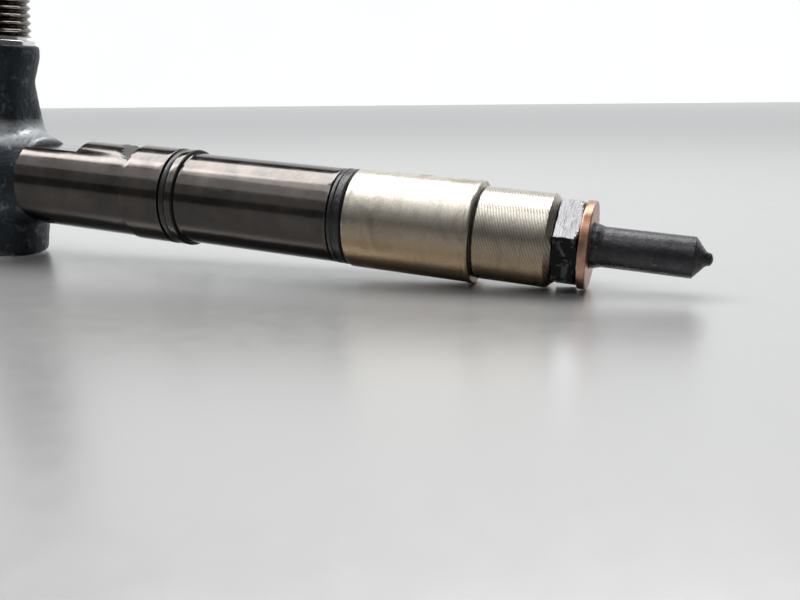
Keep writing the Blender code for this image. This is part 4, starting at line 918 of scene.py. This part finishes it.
def softened(node, name, material, width, slot):
    """A copy of a CAD node with its edges rounded."""
    sharp = 30
    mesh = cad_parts[node].data.copy()
    mesh.name = name
    bm = bmesh.new()
    bm.from_mesh(mesh)
    bmesh.ops.remove_doubles(bm, verts=bm.verts, dist=1e-6)
    bmesh.ops.dissolve_limit(bm, angle_limit=math.radians(1.0), verts=bm.verts, edges=bm.edges)
    bm.to_mesh(mesh)
    bm.free()
    piece = add_piece(name, mesh, material, sharp)
    bevel = edge_bevel(piece, width)
    bevel.limit_method = "ANGLE"
    bevel.angle_limit = math.radians(sharp)
    stand_for(piece, slot, node)


def solenoid_nut():
    """The solenoid's hexagonal nut, with a turned chamfer at both ends."""
    low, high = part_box("solenoid_retaining_nut")
    back, front = low.x / MM, high.x / MM
    corner_r = 15.59
    chamfer = ((0.0, 13.1), (0.05, 13.45), (0.35, 14.1), (0.8, 15.0))
    chamfer_length = 1.3
    steps = 14
    side_length = front - back - 2 * chamfer_length

    def six_sides(x, angle, radius):
        if radius < 12.4:
            return radius
        return min(hex_radius(angle, SOLENOID_FLATS, 0.0), radius)

    rows = [(back + 0.6, 10.75), (back, 11.2)]
    rows += [(back + inset, r) for inset, r in chamfer]
    rows += [(back + chamfer_length + side_length * step / steps, corner_r) for step in range(steps + 1)]
    rows += [(front - inset, r) for inset, r in reversed(chamfer)]
    rows += [(front, 12.2), (front - 0.6, 12.0)]
    bm = turned_bmesh(rows, 360, six_sides)
    stand_for(finish_mesh("solenoid_nut", bm, ZINC, 22), "zinc_plate", "solenoid_retaining_nut")


def box_bmesh(low, high):
    """A box between two corners."""
    bm = bmesh.new()
    bmesh.ops.create_cube(bm, size=1)
    for vert in bm.verts:
        for axis in range(3):
            vert.co[axis] = ((low[axis] + high[axis]) / 2 + vert.co[axis] * (high[axis] - low[axis])) * MM
    return bm


def connector_details():
    """Moulded ribs under the housing, the socket's latch lugs and its keys, as one piece."""
    low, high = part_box("connector_housing")
    front, back = high.x / MM, low.x / MM
    middle = (front + back) / 2
    ribs = bmesh.new()
    for degrees in (200, 225, 250, 290, 315, 340):
        rib = box_bmesh((back + 2.2, -0.45, 12.0), (front - 1.2, 0.45, 12.72))
        turn = Matrix.Rotation(math.radians(degrees - 90), 3, "X")
        bmesh.ops.rotate(rib, cent=(0, 0, 0), matrix=turn, verts=rib.verts)
        join_into(ribs, rib)
    for side in (1, -1):
        lug_y = side * 6.05
        key_x = middle + side * 2.6
        lug = box_bmesh((middle - 2.2, lug_y - 0.55, 21.0), (middle + 2.2, lug_y + 0.55, 23.2))
        join_into(ribs, lug)
        key = box_bmesh((key_x - 0.5, -4.6, 16.0), (key_x + 0.5, -3.9, 27.4))
        join_into(ribs, key)
    piece = finish_mesh("housing_ribs", ribs, PLASTIC, 30)
    edge_bevel(piece, 0.28)


body_turning()
forged_head()
inlet_neck()
inlet_thread()
leak_off_seat()
head_collar()
nut_turning()
nut_hexagon()
washer()
nozzle()
nut_seal()
band_seal()
solenoid_nut()
softened("connector_housing", "plug_housing", PLASTIC, 0.35, "housing_plastic")
softened("terminal_pin_1", "pin_1", TIN, 0.16, "tinned_brass")
softened("terminal_pin_2", "pin_2", TIN, 0.16, "tinned_brass")
connector_details()

# CAD nodes that keep their own shape
CARRIED = {
    "nozzle_needle": GROUND,
    "distance_piece": GROUND,
    "locating_dowel_1": GROUND,
    "locating_dowel_2": GROUND,
    "inlet_filter": GROUND,
    "pressure_pin": GROUND,
    "spring_shim": GROUND,
    "nozzle_spring": SPRING,
    "command_piston": GROUND,
    "orifice_plate": GROUND,
    "valve_ball": GROUND,
    "armature_guide": GROUND,
    "valve_clamp_ring": GROUND,
    "armature": IRON,
    "solenoid_core": IRON,
    "coil_bobbin": NYLON,
    "coil_winding": WIRE,
    "armature_spring_shim": ZINC,
    "armature_spring": SPRING,
    "solenoid_can": ZINC,
    "solenoid_o_ring": RUBBER,
}
for node_name, finish in CARRIED.items():
    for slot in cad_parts[node_name].material_slots:
        slot.material = finish


# ---------------------------------------------------------------- floor, light and camera

# The injector rests on the nut's bead and on the stub's front edge, so the floor slopes in this frame
REST_X = -20.4
REST_Z = -9.36
STUB_REST_X = -118.9
SLOPE = (REST_Z - STUB_Z) / (REST_X - STUB_REST_X)
TILT = Matrix.Rotation(-math.atan(SLOPE), 4, "Y")
FLOOR_ORIGIN = Vector((REST_X * MM, 0, REST_Z * MM))


def on_floor(x, y, z):
    """A point given along the floor from the resting point, in metres."""
    return FLOOR_ORIGIN + TILT @ Vector((x, y, z))


def flat_sheet(name, corners, material):
    """A rectangle with its corners given along the floor, in metres."""
    mesh = bpy.data.meshes.new(name)
    mesh.from_pydata([on_floor(*corner) for corner in corners], [], [(0, 1, 2, 3)])
    mesh.materials.append(material)
    sheet = bpy.data.objects.new(name, mesh)
    bpy.context.scene.collection.objects.link(sheet)
    return sheet


def make_floor():
    """A wide floor with a lit card standing behind it."""
    side, near, far = 4, -1.5, 3.2
    card_y, card_foot, card_top = 3.1, -0.1, 2.6
    floor_corners = ((-side, near, 0), (side, near, 0), (side, far, 0), (-side, far, 0))
    card_corners = (
        (-side, card_y, card_foot),
        (side, card_y, card_foot),
        (side, card_y, card_top),
        (-side, card_y, card_top),
    )
    floor = flat_sheet("floor", floor_corners, pale_floor())
    flat_sheet("backdrop", card_corners, backdrop_card())


def area_light(name, at, aim, size, radiance):
    """A rectangular panel, aimed at a point. Its brightness doesn't depend on its size."""
    light = bpy.data.lights.new(name, "AREA")
    light.shape = "RECTANGLE"
    light.size, light.size_y = size
    light.energy = radiance * math.pi * size[0] * size[1]
    obj = bpy.data.objects.new(name, light)
    obj.location = on_floor(*at)
    direction = on_floor(*aim) - obj.location
    obj.rotation_mode = "QUATERNION"
    obj.rotation_quaternion = direction.to_track_quat("-Z", "Y")
    bpy.context.scene.collection.objects.link(obj)


def make_lights():
    """Soft panels on an arc over the injector, brightest just past overhead, dimmest at the front.

    Each panel spans two elevations, in degrees, with 0 at the camera's side and 90 overhead.
    """
    reach = 0.45
    length = 0.80
    centre_x = -0.20
    for name, low, high, radiance in (
        ("overhead", 84, 120, 5.2),
        ("overhead_edge", 66, 84, 2.0),
        ("upper_front", 42, 66, 0.75),
        ("front", 18, 42, 0.18),
    ):
        middle = math.radians((low + high) / 2)
        height = 2 * reach * math.tan(math.radians(high - low) / 2)
        at = (centre_x, -reach * math.cos(middle), reach * math.sin(middle))
        area_light(name, at, (centre_x, 0.0, 0.0), (length, height), radiance)
    world = bpy.data.worlds.new("studio")
    world.use_nodes = True
    shade = world.node_tree.nodes["Background"]
    shade.inputs["Color"].default_value = (0.95, 0.98, 1.0, 1.0)
    shade.inputs["Strength"].default_value = 0.075
    bpy.context.scene.world = world


def make_camera():
    """The camera, given by how the injector lies in front of it.

    The injector's origin and the direction of its head are given right, down and forward of the
    camera. roll is how far the inlet arm leans towards the camera, about the injector's axis.
    """
    origin = Vector((33.07, -9.36, 146.08))
    towards_head = Vector((-0.9393, -0.1420, 0.3125)).normalized()
    roll = math.radians(13.0)
    near = Vector((-towards_head.z, 0, towards_head.x)).normalized()
    down = towards_head.cross(near)
    if down.y < 0:
        down.negate()
    axis_x = -towards_head
    axis_z = -(math.cos(roll) * down - math.sin(roll) * near)
    axis_z = (axis_z - axis_x * axis_z.dot(axis_x)).normalized()
    axis_y = axis_z.cross(axis_x)
    to_camera = Matrix((axis_x, axis_y, axis_z)).transposed()
    to_frame = to_camera.transposed()
    place = (to_frame @ -origin) * MM
    turn = to_frame @ Matrix(((1, 0, 0), (0, -1, 0), (0, 0, -1)))
    camera = bpy.data.cameras.new("camera")
    camera.sensor_width = 36.0
    camera.lens = 38.25
    camera.clip_start = 0.005
    camera.clip_end = 20.0
    obj = bpy.data.objects.new("camera", camera)
    obj.matrix_world = Matrix.Translation(place) @ turn.to_4x4()
    bpy.context.scene.collection.objects.link(obj)
    bpy.context.scene.camera = obj


make_floor()
make_lights()
make_camera()
bpy.context.scene.view_settings.view_transform = "Standard"
